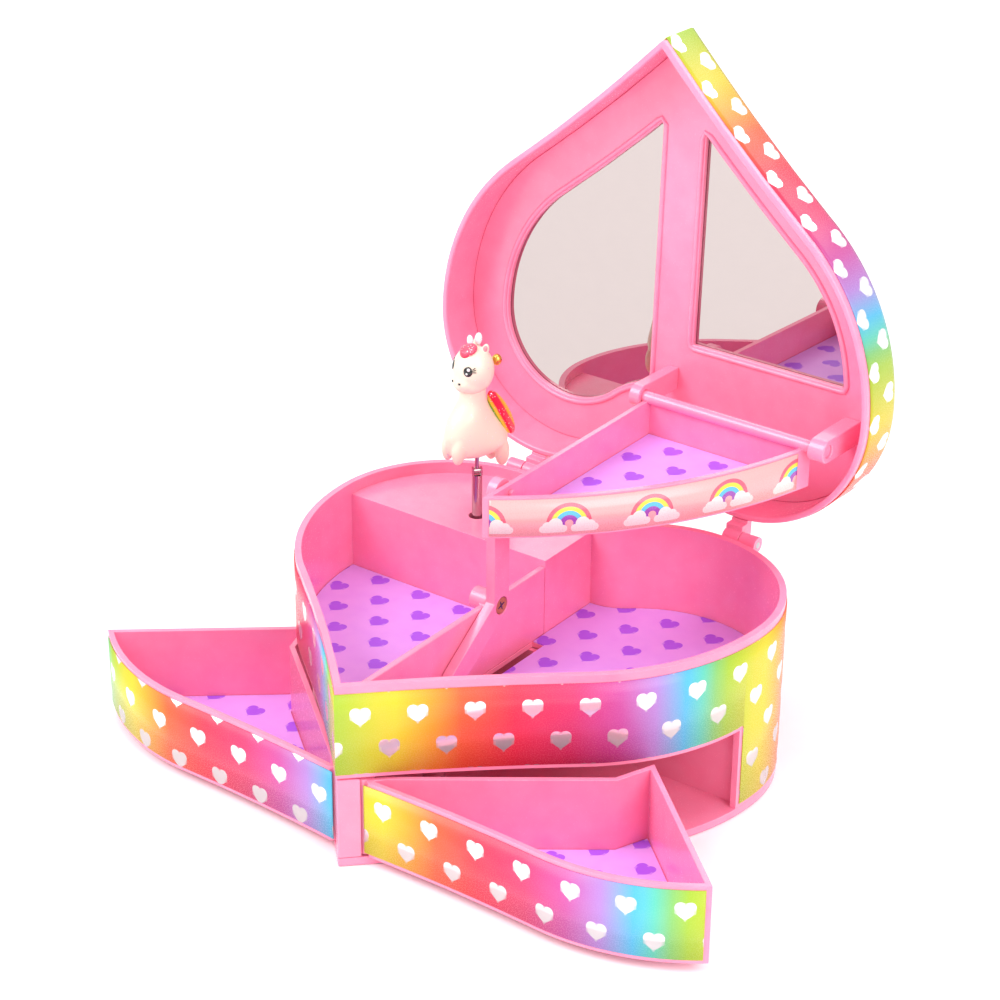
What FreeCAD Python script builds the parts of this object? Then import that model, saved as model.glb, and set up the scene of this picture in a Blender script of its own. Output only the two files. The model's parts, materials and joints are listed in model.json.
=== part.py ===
"""Heart-shaped musical jewellery box with a lift tray, two swing drawers and a turning figure.

Millimetres, +Z up, +Y towards the lid hinge, origin on the underside at the middle of the heart.
The rest pose has the lid open, the tray lifted, the drawers swung out and the figure standing.
"""
import FreeCAD, Part
import math
import os
import re
import Sketcher

V = FreeCAD.Vector
doc = FreeCAD.newDocument("music_box")
sheet = doc.addObject("Spreadsheet::Sheet", "Sizes")

# Driving dimensions in millimetres and degrees.
SIZES = {
    # heart outline
    "heart_width": 180.0, "heart_depth": 164.6, "lobe_radius": "=heart_width * 0.26333333333333",
    "flank_radius": "=heart_width * 0.44444444444444", "flank_lead": 3.27, "notch_depth": 15.8,
    # base
    "wall": 2.4, "plate": 3.0, "rim_height": 69.3, "floor_top": 35.6, "floor_thick": 2.0,
    "lip_drop": 0.7, "opening_rear": 23.2, "bulkhead_front": 26.0, "bulkhead_thick": 2.0,
    "column_depth": 5.7, "column_rear": "=column_depth - heart_depth / 2", "card": 0.4, "card_gap": 0.3, "foil": 0.3, "foil_margin": 1.5,
    # partition and mechanism housing
    "partition_face": -0.5, "partition_thick": 2.5, "partition_drop": 6.8, "partition_top": "=rim_height - partition_drop",
    "housing_reach": 13.8, "housing_front": "=post_y - housing_reach",
    "housing_drop": 4.3, "housing_top": "=rim_height - housing_drop", "housing_wall": 2.0, "post_hole_radius": 3.0,
    # lid
    "lid_gap": 0.5, "lid_depth": 24.4, "lid_wall": 2.2, "lid_round": 6.0, "panel_depth": 16.5,
    "panel_thick": 2.0, "mirror_inset": 18.5, "mirror_thick": 1.8, "mirror_lap": 2.5,
    "mirror_bar_left": -8.0, "mirror_bar_right": 9.8, "right_mirror_drop": 52.3,
    "right_mirror_rear": "=heart_depth / 2 - right_mirror_drop",
    # hinge
    "hinge_reach": 5.8, "hinge_y": "=heart_depth / 2 + hinge_reach",
    "hinge_drop": 2.9, "hinge_z": "=rim_height - hinge_drop", "lid_open": 92.0, "knuckle_radius": 2.9, "knuckle_length": 6.6,
    "knuckle_lead": 2.1, "knuckle_start": "=heart_width / 2 - lobe_radius - knuckle_lead", "knuckle_gap": 0.3, "hinge_pin_radius": 1.2, "run_clear": 0.05,
    "lug_depth": 6.5,
    # lift linkage
    "arm_y": 4.2, "arm_drop": 7.0, "arm_z": "=rim_height - arm_drop", "link_y": -0.2, "link_z": 44.0, "arm_thick": 3.8, "arm_width": 8.5,
    "arm_side_gap": 0.3, "leg_length": 31.0, "leg_slope": 35.3, "arm_screw_radius": 1.45,
    "screw_head_radius": 2.9, "screw_head_thick": 1.2, "boss_radius": 4.0, "boss_length": 5.0,
    "slot_margin": 1.0, "arm_pin_radius": 1.5, "arm_pin_length": 4.6,
    # tray
    "tray_left": 5.0, "tray_back": 1.4, "tray_rear": "=hinge_y + tray_back",
    "tray_side": 18.3, "tray_right": "=heart_width / 2 - tray_side", "tray_front": -9.5, "tray_bow": 11.0,
    "tray_lift": 3.2, "tray_top": "=arm_z + link_z + tray_lift", "tray_height": 15.0, "tray_wall": 1.8, "rod_radius": 2.2, "rod_left": 0.4,
    "rod_reach": 7.3, "rod_right": "=tray_right + rod_reach", "bracket_radius": 4.2, "bracket_left": 0.1, "bracket_left_thick": 4.4,
    "bracket_step": 1.7, "bracket_right": "=tray_right + bracket_step", "bracket_right_thick": 6.4,
    # drawers
    "pivot_x": 4.2, "pivot_depth": 9.8, "pivot_y": "=pivot_depth - heart_depth / 2", "drawer_eye": 3.5, "drawer_pin_radius": 1.2, "drawer_wall": 2.0,
    "drawer_clear": 0.6, "drawer_rear": 22.5, "drawer_inner_x": 7.0, "drawer_inner_depth": 6.5,
    "drawer_inner_y": "=pivot_y + drawer_inner_depth",
    "drawer_bend_x": 21.8, "drawer_bend_y": 7.8, "drawer_corner_x": 16.3,
    "right_open": 42.0, "left_open": 39.0,
    # base screws
    "screw_post_radius": 4.0, "base_screw_radius": 1.5, "base_head_radius": 2.8, "base_head_thick": 1.5,
    "side_post_edge": 20.0, "side_post_x": "=heart_width / 2 - side_post_edge", "side_post_back": 49.3, "side_post_y": "=heart_depth / 2 - side_post_back", "front_post_y": -30.0, "rear_post_y": 52.0,
    # movement
    "post_x": "=heart_width * -0.22611111111111", "post_edge": 33.0, "post_y": "=heart_depth / 2 - post_edge", "barrel_turn": 164.0, "gear_module": 0.6, "gear_thick": 3.2,
    "barrel_teeth": 48, "cylinder_teeth": 12, "governor_teeth": 8, "governor_steps": 37,
    "bed_thick": 1.6, "bed_gap": 0.3, "barrel_radius": 11.0, "barrel_height": 10.5,
    "cylinder_gap": 3.0, "cylinder_top": "=housing_top - housing_wall - cylinder_gap",
    "stem_radius": 2.0, "stem_drop": 6.0, "stem_top": "=cylinder_top - stem_drop", "cylinder_radius": 6.5,
    "comb_thick": 1.0, "comb_length": 13.0, "comb_gap": 0.4, "comb_slit": 0.25, "comb_pitch": 1.2,
    "comb_root": 4.0, "fan_radius": 7.0, "fan_thick": 0.6, "fan_height": 6.0, "fan_shaft": 0.8,
    "fan_top": "=cylinder_top",
    # winding key
    "key_bottom": 2.0, "key_height": 9.0, "key_length": 25.0, "key_thick": 3.0, "key_hub": 4.0,
    "cup_radius": 16.0, "cup_wall": 1.5, "cup_top": 17.0,
    # figure post
    "tube_radius": 1.9, "tube_bottom": 46.5, "knee_rise": 18.0,
    "knee_z": "=housing_top + knee_rise", "knee_drop": 1.5, "knee_eye": 1.1,
    "knee_slot": 2.4, "knee_cheek": 0.7, "knee_pin_radius": 0.5, "stem_pin_radius": 0.8,
    "figure_rise": 2.4, "figure_foot": "=knee_z + figure_rise", "face_turn": -105.0, "fold_turn": -45.0,
}
for row, (alias, size) in enumerate(SIZES.items(), 1):
    sheet.set(f"A{row}", alias)
    sheet.set(f"B{row}", str(size))
    sheet.setAlias(f"B{row}", alias)
doc.recompute()


def g(alias):
    """The number that a named cell of the sheet holds."""
    return float(sheet.get(alias))


def ex(text):
    """An expression with each size's name led by its sheet."""
    return re.sub(r"[a-z][a-z_]+", lambda m: "Sizes." + m[0] if m[0] in SIZES else m[0], str(text))


def bind(obj, **places):
    """Binds properties to expressions on the sheet; a double underscore stands for a dot."""
    for key, text in places.items():
        obj.setExpression(key.replace("__", "."), ex(text))
    return obj


def at(obj, x, y, z):
    """Binds an object's place."""
    return bind(obj, Placement__Base__x=x, Placement__Base__y=y, Placement__Base__z=z)


def box(name, x, y, z):
    """A block between pairs of expressions along each axis."""
    obj = doc.addObject("Part::Box", name)
    bind(obj, Length=f"({x[1]}) - ({x[0]})", Width=f"({y[1]}) - ({y[0]})", Height=f"({z[1]}) - ({z[0]})")
    return at(obj, x[0], y[0], z[0])


def rod(name, radius, start, length, axis="z"):
    """A cylinder from a start point along an axis."""
    obj = doc.addObject("Part::Cylinder", name)
    turn = {"z": (V(0, 0, 1), 0), "x": (V(0, 1, 0), 90), "y": (V(1, 0, 0), -90)}[axis]
    obj.Placement = FreeCAD.Placement(V(), FreeCAD.Rotation(*turn))
    bind(obj, Radius=radius, Height=length)
    return at(obj, *start)


def ring_body(name, radius, bore, start, length):
    """A turned ring or pin along Z: a padded sketch of one or two circles."""
    body = doc.addObject("PartDesign::Body", name)
    plane = next(f for f in body.Origin.OriginFeatures if f.Role == "XY_Plane")
    sketch = body.newObject("Sketcher::SketchObject", name + "_section")
    sketch.AttachmentSupport = (plane, "")
    sketch.MapMode = "FlatFace"
    for index, (label, size) in enumerate((("outer", radius), ("inner", bore))):
        if size is None:
            continue
        sketch.addGeometry(Part.Circle(V(), V(0, 0, 1), 1 + 1 / (1 + index)), False)
        sketch.addConstraint(Sketcher.Constraint("Coincident", index, 3, -1, 1))
        radius_rule = sketch.addConstraint(Sketcher.Constraint("Radius", index, 1 + 1 / (1 + index)))
        sketch.renameConstraint(radius_rule, label)
        sketch.setExpression(f"Constraints.{label}", ex(size))
    pad = body.newObject("PartDesign::Pad", name + "_pad")
    pad.Profile = sketch
    bind(pad, Length=length)
    return at(body, *start)


def profile(name, face, z="0"):
    """A flat outline at a height."""
    obj = doc.addObject("Part::Feature", name)
    obj.Shape = face
    obj.Placement = FreeCAD.Placement()
    return bind(obj, Placement__Base__z=z)


def extrude(name, base, length, axis=V(0, 0, 1)):
    """An outline carried along an axis into a solid."""
    obj = doc.addObject("Part::Extrusion", name)
    obj.Base = base
    obj.DirMode = "Custom"
    obj.Dir = axis
    obj.Solid = True
    return bind(obj, LengthFwd=length)


def slab(name, face, z):
    """A solid with a flat outline between two heights."""
    return extrude(name, profile(name + "_outline", face, z[0]), f"({z[1]}) - ({z[0]})")


def inset(name, base, distance, z):
    """A solid whose outline is drawn in from another outline."""
    drawn = doc.addObject("Part::Offset2D", name + "_inset")
    drawn.Source = base
    drawn.Join = "Intersection"
    bind(drawn, Value=f"-({distance})")
    solid = extrude(name, drawn, f"({z[1]}) - ({z[0]})")
    return bind(solid, Placement__Base__z=z[0])


def join(kind, name, parts):
    """A multi-way boolean of document objects."""
    obj = doc.addObject(kind, name)
    obj.Shapes = parts
    return obj


def fuse(name, *parts):
    """One solid out of several."""
    return join("Part::MultiFuse", name, list(parts))


def common(name, *parts):
    """What several solids share."""
    return join("Part::MultiCommon", name, list(parts))


def cut(name, base, *tools):
    """A solid with others taken away."""
    obj = doc.addObject("Part::Cut", name)
    obj.Base = base
    obj.Tool = tools[0] if len(tools) == 1 else fuse(name + "_tools", *tools)
    return obj


def group(name, *parts):
    """Separate solids that share one node."""
    obj = doc.addObject("Part::Compound", name)
    obj.Links = list(parts)
    return obj


NODES = []


def node(obj, label, placement=None):
    """Names a finished sub-part and puts it in its rest place."""
    obj.Label = label
    if placement is not None:
        obj.Placement = placement
    NODES.append(obj)
    return obj


# Heart outline: per half a hollow arc at the tip, a flank arc and a lobe arc, and one notch arc.
HALF = g("heart_width") / 2
TIP_Y = -g("heart_depth") / 2
LOBE_X = HALF - g("lobe_radius")
LOBE_Y = g("heart_depth") / 2 - g("lobe_radius")
FLANK_X = HALF - g("flank_radius")
TIP_FROM_FLANK = (-FLANK_X, TIP_Y - LOBE_Y)
TANGENT_TURN = math.atan2(TIP_FROM_FLANK[1], TIP_FROM_FLANK[0]) + math.acos(
    g("flank_radius") / math.hypot(*TIP_FROM_FLANK))
END_TURN = TANGENT_TURN - math.radians(g("flank_lead"))
END_OUT = (math.cos(END_TURN), math.sin(END_TURN))
END_X = FLANK_X + g("flank_radius") * END_OUT[0]
END_Y = LOBE_Y + g("flank_radius") * END_OUT[1]
HOLLOW_RADIUS = (END_X**2 + (TIP_Y - END_Y) ** 2) / (2 * (-END_X * END_OUT[0] + (TIP_Y - END_Y) * END_OUT[1]))
HOLLOW_X = END_X + HOLLOW_RADIUS * END_OUT[0]
HOLLOW_Y = END_Y + HOLLOW_RADIUS * END_OUT[1]
NOTCH_BOTTOM = g("heart_depth") / 2 - g("notch_depth")
RISE = NOTCH_BOTTOM - LOBE_Y
NOTCH_RADIUS = (LOBE_X**2 + RISE**2 - g("lobe_radius") ** 2) / (2 * (g("lobe_radius") - RISE))
NOTCH_Y = NOTCH_BOTTOM + NOTCH_RADIUS


def on_circle(cx, cy, radius, angle):
    """A point on a circle in the plan."""
    return V(cx + radius * math.cos(angle), cy + radius * math.sin(angle), 0)


def heart_wire(depth, z=0.0):
    """The heart drawn in by a depth, as tangent arcs with one sharp tip."""
    lobe = g("lobe_radius") - depth
    flank = g("flank_radius") - depth
    hollow = HOLLOW_RADIUS + depth
    notch = NOTCH_RADIUS + depth
    lobe_end = math.atan2(NOTCH_Y - LOBE_Y, -LOBE_X)
    notch_start = math.atan2(LOBE_Y - NOTCH_Y, LOBE_X)
    tip = V(0, HOLLOW_Y + math.sqrt(hollow**2 - HOLLOW_X**2), 0)
    tip_turn = math.atan2(tip.y - HOLLOW_Y, -HOLLOW_X)
    hollow_turn = math.pi + END_TURN
    arcs = [
        (tip, on_circle(HOLLOW_X, HOLLOW_Y, hollow, (tip_turn + hollow_turn) / 2),
         on_circle(HOLLOW_X, HOLLOW_Y, hollow, hollow_turn)),
        (None, on_circle(FLANK_X, LOBE_Y, flank, END_TURN / 2), on_circle(FLANK_X, LOBE_Y, flank, 0)),
        (None, on_circle(LOBE_X, LOBE_Y, lobe, lobe_end / 2), on_circle(LOBE_X, LOBE_Y, lobe, lobe_end)),
        (None, V(0, NOTCH_Y - notch, 0), on_circle(0, NOTCH_Y, notch, math.pi - notch_start)),
    ]
    points = [(arcs[0][0], arcs[0][1], arcs[0][2])]
    for _, middle, end in arcs[1:]:
        points.append((points[-1][2], middle, end))
    for start, middle, end in reversed(points[:3]):
        points.append(tuple(V(-p.x, p.y, 0) for p in (end, middle, start)))
    edges = []
    for start, middle, end in points:
        edges.append(Part.Arc(*(V(p.x, p.y, z) for p in (start, middle, end))).toShape())
    return Part.Wire(edges)


def heart(depth):
    """The heart's face drawn in by a depth."""
    return Part.Face(heart_wire(depth))


def polygon(*points):
    """A flat face through corner points."""
    corners = [V(*p, 0) for p in points]
    return Part.Face(Part.makePolygon(corners + corners[:1]))


WIDE = ("-heart_width", "heart_width")
ALL_Z = ("-heart_width", "heart_width")
FLOOR_BOTTOM = "floor_top - floor_thick"
LIP = "floor_top - floor_thick + lip_drop"


def heart_slab(name, depth, z):
    """A heart-shaped solid between two heights."""
    return slab(name, heart(depth), z)


# Base: plate, shell, floor and walls.
BARREL_FROM_POST = g("gear_module") * (g("barrel_teeth") + g("cylinder_teeth")) / 2
BARREL_TURN = math.radians(g("barrel_turn"))
BARREL_X = f"(post_x + {BARREL_FROM_POST * math.cos(BARREL_TURN)})"
BARREL_Y = f"(post_y + {BARREL_FROM_POST * math.sin(BARREL_TURN)})"
POSTS = (("-side_post_x", "side_post_y"), ("side_post_x", "side_post_y"),
         ("0", "front_post_y"), ("0", "rear_post_y"))

plate_solid = heart_slab("plate_solid", 0, ("0", "plate"))
key_opening = rod("key_opening", "cup_radius", (BARREL_X, BARREL_Y, "-plate"), "plate * 3")
plate_holes = []
base_screws = []
for index, (x, y) in enumerate(POSTS):
    shank_hole = rod(f"plate_hole{index}", "base_screw_radius + run_clear", (x, y, "-plate"), "plate * 3")
    head_hole = rod(f"head_hole{index}", "base_head_radius + run_clear", (x, y, "-plate"),
                    "plate + base_head_thick")
    plate_holes += [shank_hole, head_hole]
    head = rod(f"screw_head{index}", "base_head_radius", (x, y, "run_clear"), "base_head_thick - run_clear")
    shank = rod(f"screw_shank{index}", "base_screw_radius", (x, y, "run_clear"), "plate * 4")
    base_screws.append(fuse(f"screw{index}", head, shank))
node(cut("base_plate", plate_solid, key_opening, *plate_holes), "base_plate")
node(group("base_screws", *base_screws), "base_screws")

shell_outer = heart_slab("shell_outer", 0, ("plate", "rim_height"))
shell_inner = heart_slab("shell_inner", g("wall"), ("0", "rim_height * 2"))
drawer_mouth = box("drawer_mouth", WIDE, ("-heart_depth", "opening_rear"), ("-plate", LIP))
node(cut("base_shell", shell_outer, shell_inner, drawer_mouth), "base_shell")

ARM_HALF = "arm_width / 2"
LEG_REACH = f"(leg_length + {ARM_HALF})"
SLOT_HALF = f"(sqrt({LEG_REACH}^2 - (arm_z - floor_top)^2) + slot_margin)"
ARM_LEFT = "(partition_face + arm_side_gap)"
ARM_RIGHT = f"({ARM_LEFT} + arm_thick)"
arm_slot = box("arm_slot", ("partition_face", f"{ARM_RIGHT} + arm_side_gap * 2"),
               (f"arm_y - {SLOT_HALF}", f"arm_y + {SLOT_HALF}"), ("plate", "rim_height"))
floor_slab = heart_slab("floor_slab", g("wall"), (FLOOR_BOTTOM, "floor_top"))
floor_parts = [floor_slab]
pilot_holes = []
for index, (x, y) in enumerate(POSTS):
    floor_parts.append(rod(f"screw_post{index}", "screw_post_radius", (x, y, "plate"),
                           f"{FLOOR_BOTTOM} - plate + floor_thick / 2"))
    pilot_holes.append(rod(f"pilot{index}", "base_screw_radius + run_clear", (x, y, "0"), "plate * 5"))
stem_hole = rod("stem_hole", "stem_radius + run_clear", (BARREL_X, BARREL_Y, "plate"), "rim_height")
node(cut("mid_floor", fuse("floor_solid", *floor_parts), arm_slot, stem_hole, *pilot_holes), "mid_floor")

column_block = box("column_block", WIDE, ("-heart_depth", "column_rear"), ("plate", FLOOR_BOTTOM))
node(common("tip_column", heart_slab("column_heart", 0, ("0", "rim_height")), column_block), "tip_column")
drawer_pins = []
for side in (-1, 1):
    drawer_pins.append(ring_body(f"drawer_pin{side + 1}", "drawer_pin_radius", None,
                                 (f"{side} * pivot_x", "pivot_y", "plate"), f"{FLOOR_BOTTOM} - plate"))
node(group("drawer_pins", *drawer_pins), "drawer_pins")

inner_tall = heart_slab("inner_tall", g("wall"), ("0", "rim_height"))
bulkhead_block = box("bulkhead_block", WIDE, ("bulkhead_front", "bulkhead_front + bulkhead_thick"),
                     ("plate", FLOOR_BOTTOM))
node(common("drawer_bulkhead", inner_tall, bulkhead_block), "drawer_bulkhead")

# Partition with the boss that takes the lift arm's screw.
partition_block = box("partition_block", ("partition_face - partition_thick", "partition_face"),
                      ("-heart_depth", "housing_front"), ("floor_top", "partition_top"))
partition_wall = common("partition_wall", heart_slab("inner_tall2", g("wall"), ("0", "rim_height")),
                        partition_block)
BOSS_LEFT = "(partition_face - partition_thick - boss_length)"
boss = rod("boss", "boss_radius", (BOSS_LEFT, "arm_y", "arm_z"), "boss_length + partition_thick", "x")
screw_bore = rod("screw_bore", "arm_screw_radius + run_clear", (f"{BOSS_LEFT} - plate", "arm_y", "arm_z"),
                 "boss_length + partition_thick + plate * 2", "x")
node(cut("partition", fuse("partition_solid", partition_wall, boss), screw_bore), "partition")

# Housing over the movement in the rear left of the upper tier.
housing_block = box("housing_block", ("-heart_width", "partition_face"), ("housing_front", "heart_depth"),
                    ("floor_top", "housing_top"))
housing_solid = common("housing_solid", heart_slab("inner_tall3", g("wall"), ("0", "rim_height")), housing_block)
housing_void = box("housing_void", ("-heart_width", "partition_face - housing_wall"),
                   ("housing_front + housing_wall", "heart_depth"), ("0", "housing_top - housing_wall"))
post_hole = rod("post_hole", "post_hole_radius", ("post_x", "post_y", "floor_top"), "rim_height")
node(cut("mechanism_housing", housing_solid, housing_void, post_hole), "mechanism_housing")

# Printed cards on the floors of the two compartments.
CARD_Z = ("floor_top", "floor_top + card")
CARD_DEPTH = g("wall") + g("card_gap")
left_zone = box("left_zone", ("-heart_width", "partition_face - partition_thick - card_gap"),
                ("-heart_depth", "housing_front - card_gap"), ALL_Z)
node(common("left_lining", heart_slab("left_card", CARD_DEPTH, CARD_Z), left_zone), "left_lining")
right_zone = box("right_zone", ("partition_face + card_gap", "heart_width"), ("-heart_depth", "heart_depth"), ALL_Z)
right_card = common("right_card_cut", heart_slab("right_card", CARD_DEPTH, CARD_Z), right_zone)
slot_cut = box("slot_cut", ("partition_face", f"{ARM_RIGHT} + arm_side_gap * 3"),
               (f"arm_y - {SLOT_HALF} - card_gap", f"arm_y + {SLOT_HALF} + card_gap"), ALL_Z)
node(cut("right_lining", right_card, slot_cut), "right_lining")

# Hinge lugs: pairs of knuckles behind the lobes, on the base and on the lid.
LUG_TOP = "rim_height + lid_gap"
BASE_KNUCKLE = "(knuckle_start + knuckle_length + knuckle_gap)"


def knuckle(name, side, start, web_z):
    """A hinge knuckle with a web back to the wall."""
    low = f"{start}" if side > 0 else f"-({start} + knuckle_length)"
    high = f"{low} + knuckle_length"
    barrel = rod(name + "_barrel", "knuckle_radius", (low, "hinge_y", "hinge_z"), "knuckle_length", "x")
    web = box(name + "_web", (low, high), ("heart_depth / 3", "hinge_y"), web_z)
    bore = rod(name + "_bore", "hinge_pin_radius + run_clear", (f"{low} - lid_gap", "hinge_y", "hinge_z"),
               "knuckle_length + lid_gap * 2", "x")
    return cut(name + "_lug", fuse(name + "_solid", barrel, web), bore)


base_lugs = []
lid_lugs = []
hinge_pins = []
for side in (-1, 1):
    lug = knuckle(f"base_knuckle{side + 1}", side, BASE_KNUCKLE, ("hinge_z - lug_depth", "hinge_z"))
    base_lugs.append(cut(f"base_lug{side + 1}", lug, heart_slab(f"lug_heart{side + 1}", 0, ALL_Z)))
    lug = knuckle(f"lid_knuckle{side + 1}", side, "knuckle_start", ("hinge_z", "hinge_z + lug_depth"))
    lid_wall_slab = heart_slab(f"lid_lug_heart{side + 1}", 0, (LUG_TOP, "heart_width"))
    rim_slab = heart_slab(f"rim_lug_heart{side + 1}", -2 * g("lid_gap"), ("0", LUG_TOP))
    lid_lugs.append(cut(f"lid_lug{side + 1}", lug, lid_wall_slab, rim_slab))
    low = "knuckle_start" if side > 0 else f"-({BASE_KNUCKLE} + knuckle_length)"
    hinge_pins.append(rod(f"hinge_pin{side + 1}", "hinge_pin_radius", (low, "hinge_y", "hinge_z"),
                          f"{BASE_KNUCKLE} + knuckle_length - knuckle_start", "x"))
node(group("base_hinge_lugs", *base_lugs), "base_hinge_lugs")
node(group("hinge_pins", *hinge_pins), "hinge_pins")

# Printed foil round the base, cut away at the drawer mouth and at the hinge lugs.
foil_outer = heart_slab("foil_outer", -g("foil"), ("plate + foil_margin", "rim_height - foil_margin"))
foil_inner = heart_slab("foil_inner", 0, ("0", "rim_height"))
foil_mouth = box("foil_mouth", WIDE, ("-heart_depth", "opening_rear + foil_margin"), ("0", f"{LIP} + foil_margin"))
foil_lugs = []
for side in (-1, 1):
    low = "knuckle_start - foil_margin" if side > 0 else f"-({BASE_KNUCKLE} + knuckle_length + foil_margin)"
    foil_lugs.append(box(f"foil_lug{side + 1}", (low, f"{low} + {BASE_KNUCKLE} + knuckle_length + 2 * foil_margin"
                                                      " - knuckle_start"), ("heart_depth / 3", "heart_depth"),
                         ("hinge_z - lug_depth - foil_margin", "rim_height")))
node(cut("base_foil", foil_outer, foil_inner, foil_mouth, *foil_lugs), "base_foil")

# Lid, drawn closed and then turned open about its hinge.
LID_OPEN = FreeCAD.Placement(V(), FreeCAD.Rotation(V(1, 0, 0), -g("lid_open")), V(0, g("hinge_y"), g("hinge_z")))
LID_RIM = g("rim_height") + g("lid_gap")
LID_TOP = g("rim_height") + g("lid_depth")
ROUND_STEPS = 4
lid_sections = [heart_wire(0, LID_RIM)]
for step in range(ROUND_STEPS + 1):
    turn = math.pi / 2 * step / ROUND_STEPS
    depth = g("lid_round") * (1 - math.cos(turn))
    height = LID_TOP - g("lid_round") * (1 - math.sin(turn))
    lid_sections.append(heart_wire(depth, height))
lid_outer = doc.addObject("Part::Feature", "lid_outer")
lid_outer.Shape = Part.makeLoft(lid_sections, True, True)
PANEL_FRONT = "(rim_height + lid_gap + panel_depth)"
PANEL_BACK = f"({PANEL_FRONT} + panel_thick)"
lid_void_low = heart_slab("lid_void_low", g("lid_wall"), ("0", PANEL_BACK))
lid_void_high = heart_slab("lid_void_high", g("lid_round"), ("0", "rim_height + lid_depth - lid_wall"))
node(cut("lid_shell", lid_outer, lid_void_low, lid_void_high), "lid_shell", LID_OPEN)
node(group("lid_hinge_lugs", *lid_lugs), "lid_hinge_lugs", LID_OPEN)


def mirror_zone(name, depth, x, rear, z):
    """The part of the drawn-in heart on one side of the lid's bar."""
    region = box(name + "_zone", x, ("-heart_depth", rear), ALL_Z)
    return common(name, heart_slab(name + "_heart", depth, z), region)


panel_slab = heart_slab("panel_slab", g("lid_wall"), (PANEL_FRONT, PANEL_BACK))
left_window = mirror_zone("left_window", g("mirror_inset"), ("-heart_width", "mirror_bar_left"), "heart_depth", ALL_Z)
right_window = mirror_zone("right_window", g("mirror_inset"), ("mirror_bar_right", "heart_width"),
                           "right_mirror_rear", ALL_Z)
node(cut("mirror_panel", panel_slab, left_window, right_window), "mirror_panel", LID_OPEN)
MIRROR_Z = (PANEL_BACK, f"{PANEL_BACK} + mirror_thick")
MIRROR_DEPTH = g("mirror_inset") - g("mirror_lap")
node(mirror_zone("left_mirror", MIRROR_DEPTH, ("-heart_width", "mirror_bar_left + mirror_lap"), "heart_depth",
                 MIRROR_Z), "left_mirror", LID_OPEN)
node(mirror_zone("right_mirror", MIRROR_DEPTH, ("mirror_bar_right - mirror_lap", "heart_width"),
                 "right_mirror_rear + mirror_lap", MIRROR_Z), "right_mirror", LID_OPEN)

LID_FOIL_Z = ("rim_height + lid_gap + foil_margin", "rim_height + lid_depth - lid_round - foil_margin")
lid_foil_outer = heart_slab("lid_foil_outer", -g("foil"), LID_FOIL_Z)
lid_foil_inner = heart_slab("lid_foil_inner", 0, ("0", "heart_width"))
lid_foil_lugs = []
for side in (-1, 1):
    low = "knuckle_start - foil_margin" if side > 0 else "-(knuckle_start + knuckle_length + foil_margin)"
    lid_foil_lugs.append(box(f"lid_foil_lug{side + 1}", (low, f"{low} + knuckle_length + 2 * foil_margin"),
                             ("heart_depth / 3", "heart_depth"), ("0", "hinge_z + lug_depth + foil_margin")))
node(cut("lid_foil", lid_foil_outer, lid_foil_inner, *lid_foil_lugs), "lid_foil", LID_OPEN)

# Brackets on the lid that carry the tray's rod, drawn closed.
CLOSE = math.radians(g("lid_open"))
ROD_CLOSED_Y = g("hinge_y") + g("link_y") * math.cos(CLOSE) - g("link_z") * math.sin(CLOSE)
ROD_CLOSED_Z = g("hinge_z") + g("link_y") * math.sin(CLOSE) + g("link_z") * math.cos(CLOSE)
brackets = []
for name, left, thick in (("left_bracket", "bracket_left", "bracket_left_thick"),
                          ("right_bracket", "bracket_right", "bracket_right_thick")):
    eye = rod(name + "_eye", "bracket_radius", (left, ROD_CLOSED_Y, ROD_CLOSED_Z), thick, "x")
    web = box(name + "_web", (left, f"{left} + {thick}"),
              (f"{ROD_CLOSED_Y} - bracket_radius", f"{ROD_CLOSED_Y} + bracket_radius"),
              (f"{ROD_CLOSED_Z}", PANEL_FRONT))
    bore = rod(name + "_bore", "rod_radius + run_clear", (f"{left} - wall", ROD_CLOSED_Y, ROD_CLOSED_Z),
               f"{thick} + wall * 2", "x")
    brackets.append(cut(name, fuse(name + "_solid", eye, web), bore))
node(group("tray_brackets", *brackets), "tray_brackets", LID_OPEN)

# Lift tray with its rod.
TRAY_BOTTOM = "(tray_top - tray_height)"
CHORD = V(g("tray_right") - g("tray_left"), g("tray_rear") - g("tray_front"), 0)
BOW = V(CHORD.y, -CHORD.x, 0).normalize() * g("tray_bow")
TRAY_TIP = V(g("tray_left"), g("tray_front"), 0)
TRAY_CORNER = V(g("tray_right"), g("tray_rear"), 0)
TRAY_BACK = V(g("tray_left"), g("tray_rear"), 0)
tray_wire = Part.Wire([
    Part.Arc(TRAY_TIP, TRAY_TIP + CHORD / 2 + BOW, TRAY_CORNER).toShape(),
    Part.makeLine(TRAY_CORNER, TRAY_BACK),
    Part.makeLine(TRAY_BACK, TRAY_TIP),
])
tray_outline = profile("tray_outline", Part.Face(tray_wire))
tray_block = bind(extrude("tray_block", tray_outline, "tray_height"), Placement__Base__z=TRAY_BOTTOM)
tray_void = inset("tray_void", tray_outline, "tray_wall", (f"{TRAY_BOTTOM} + tray_wall", "tray_top + tray_height"))
tray_rod = rod("tray_rod", "rod_radius", ("rod_left", "hinge_y + link_y", "hinge_z + link_z"),
               "rod_right - rod_left", "x")
arm_pin_hole = rod("arm_pin_hole", "arm_pin_radius + run_clear", ("tray_left - tray_wall", "arm_y + link_y",
                                                                   "arm_z + link_z"), "tray_wall * 3", "x")
node(cut("tray", fuse("tray_solid", cut("tray_shell", tray_block, tray_void), tray_rod), arm_pin_hole), "tray")
node(inset("tray_lining", tray_outline, "tray_wall + card_gap",
           (f"{TRAY_BOTTOM} + tray_wall", f"{TRAY_BOTTOM} + tray_wall + card")), "tray_lining")
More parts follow.
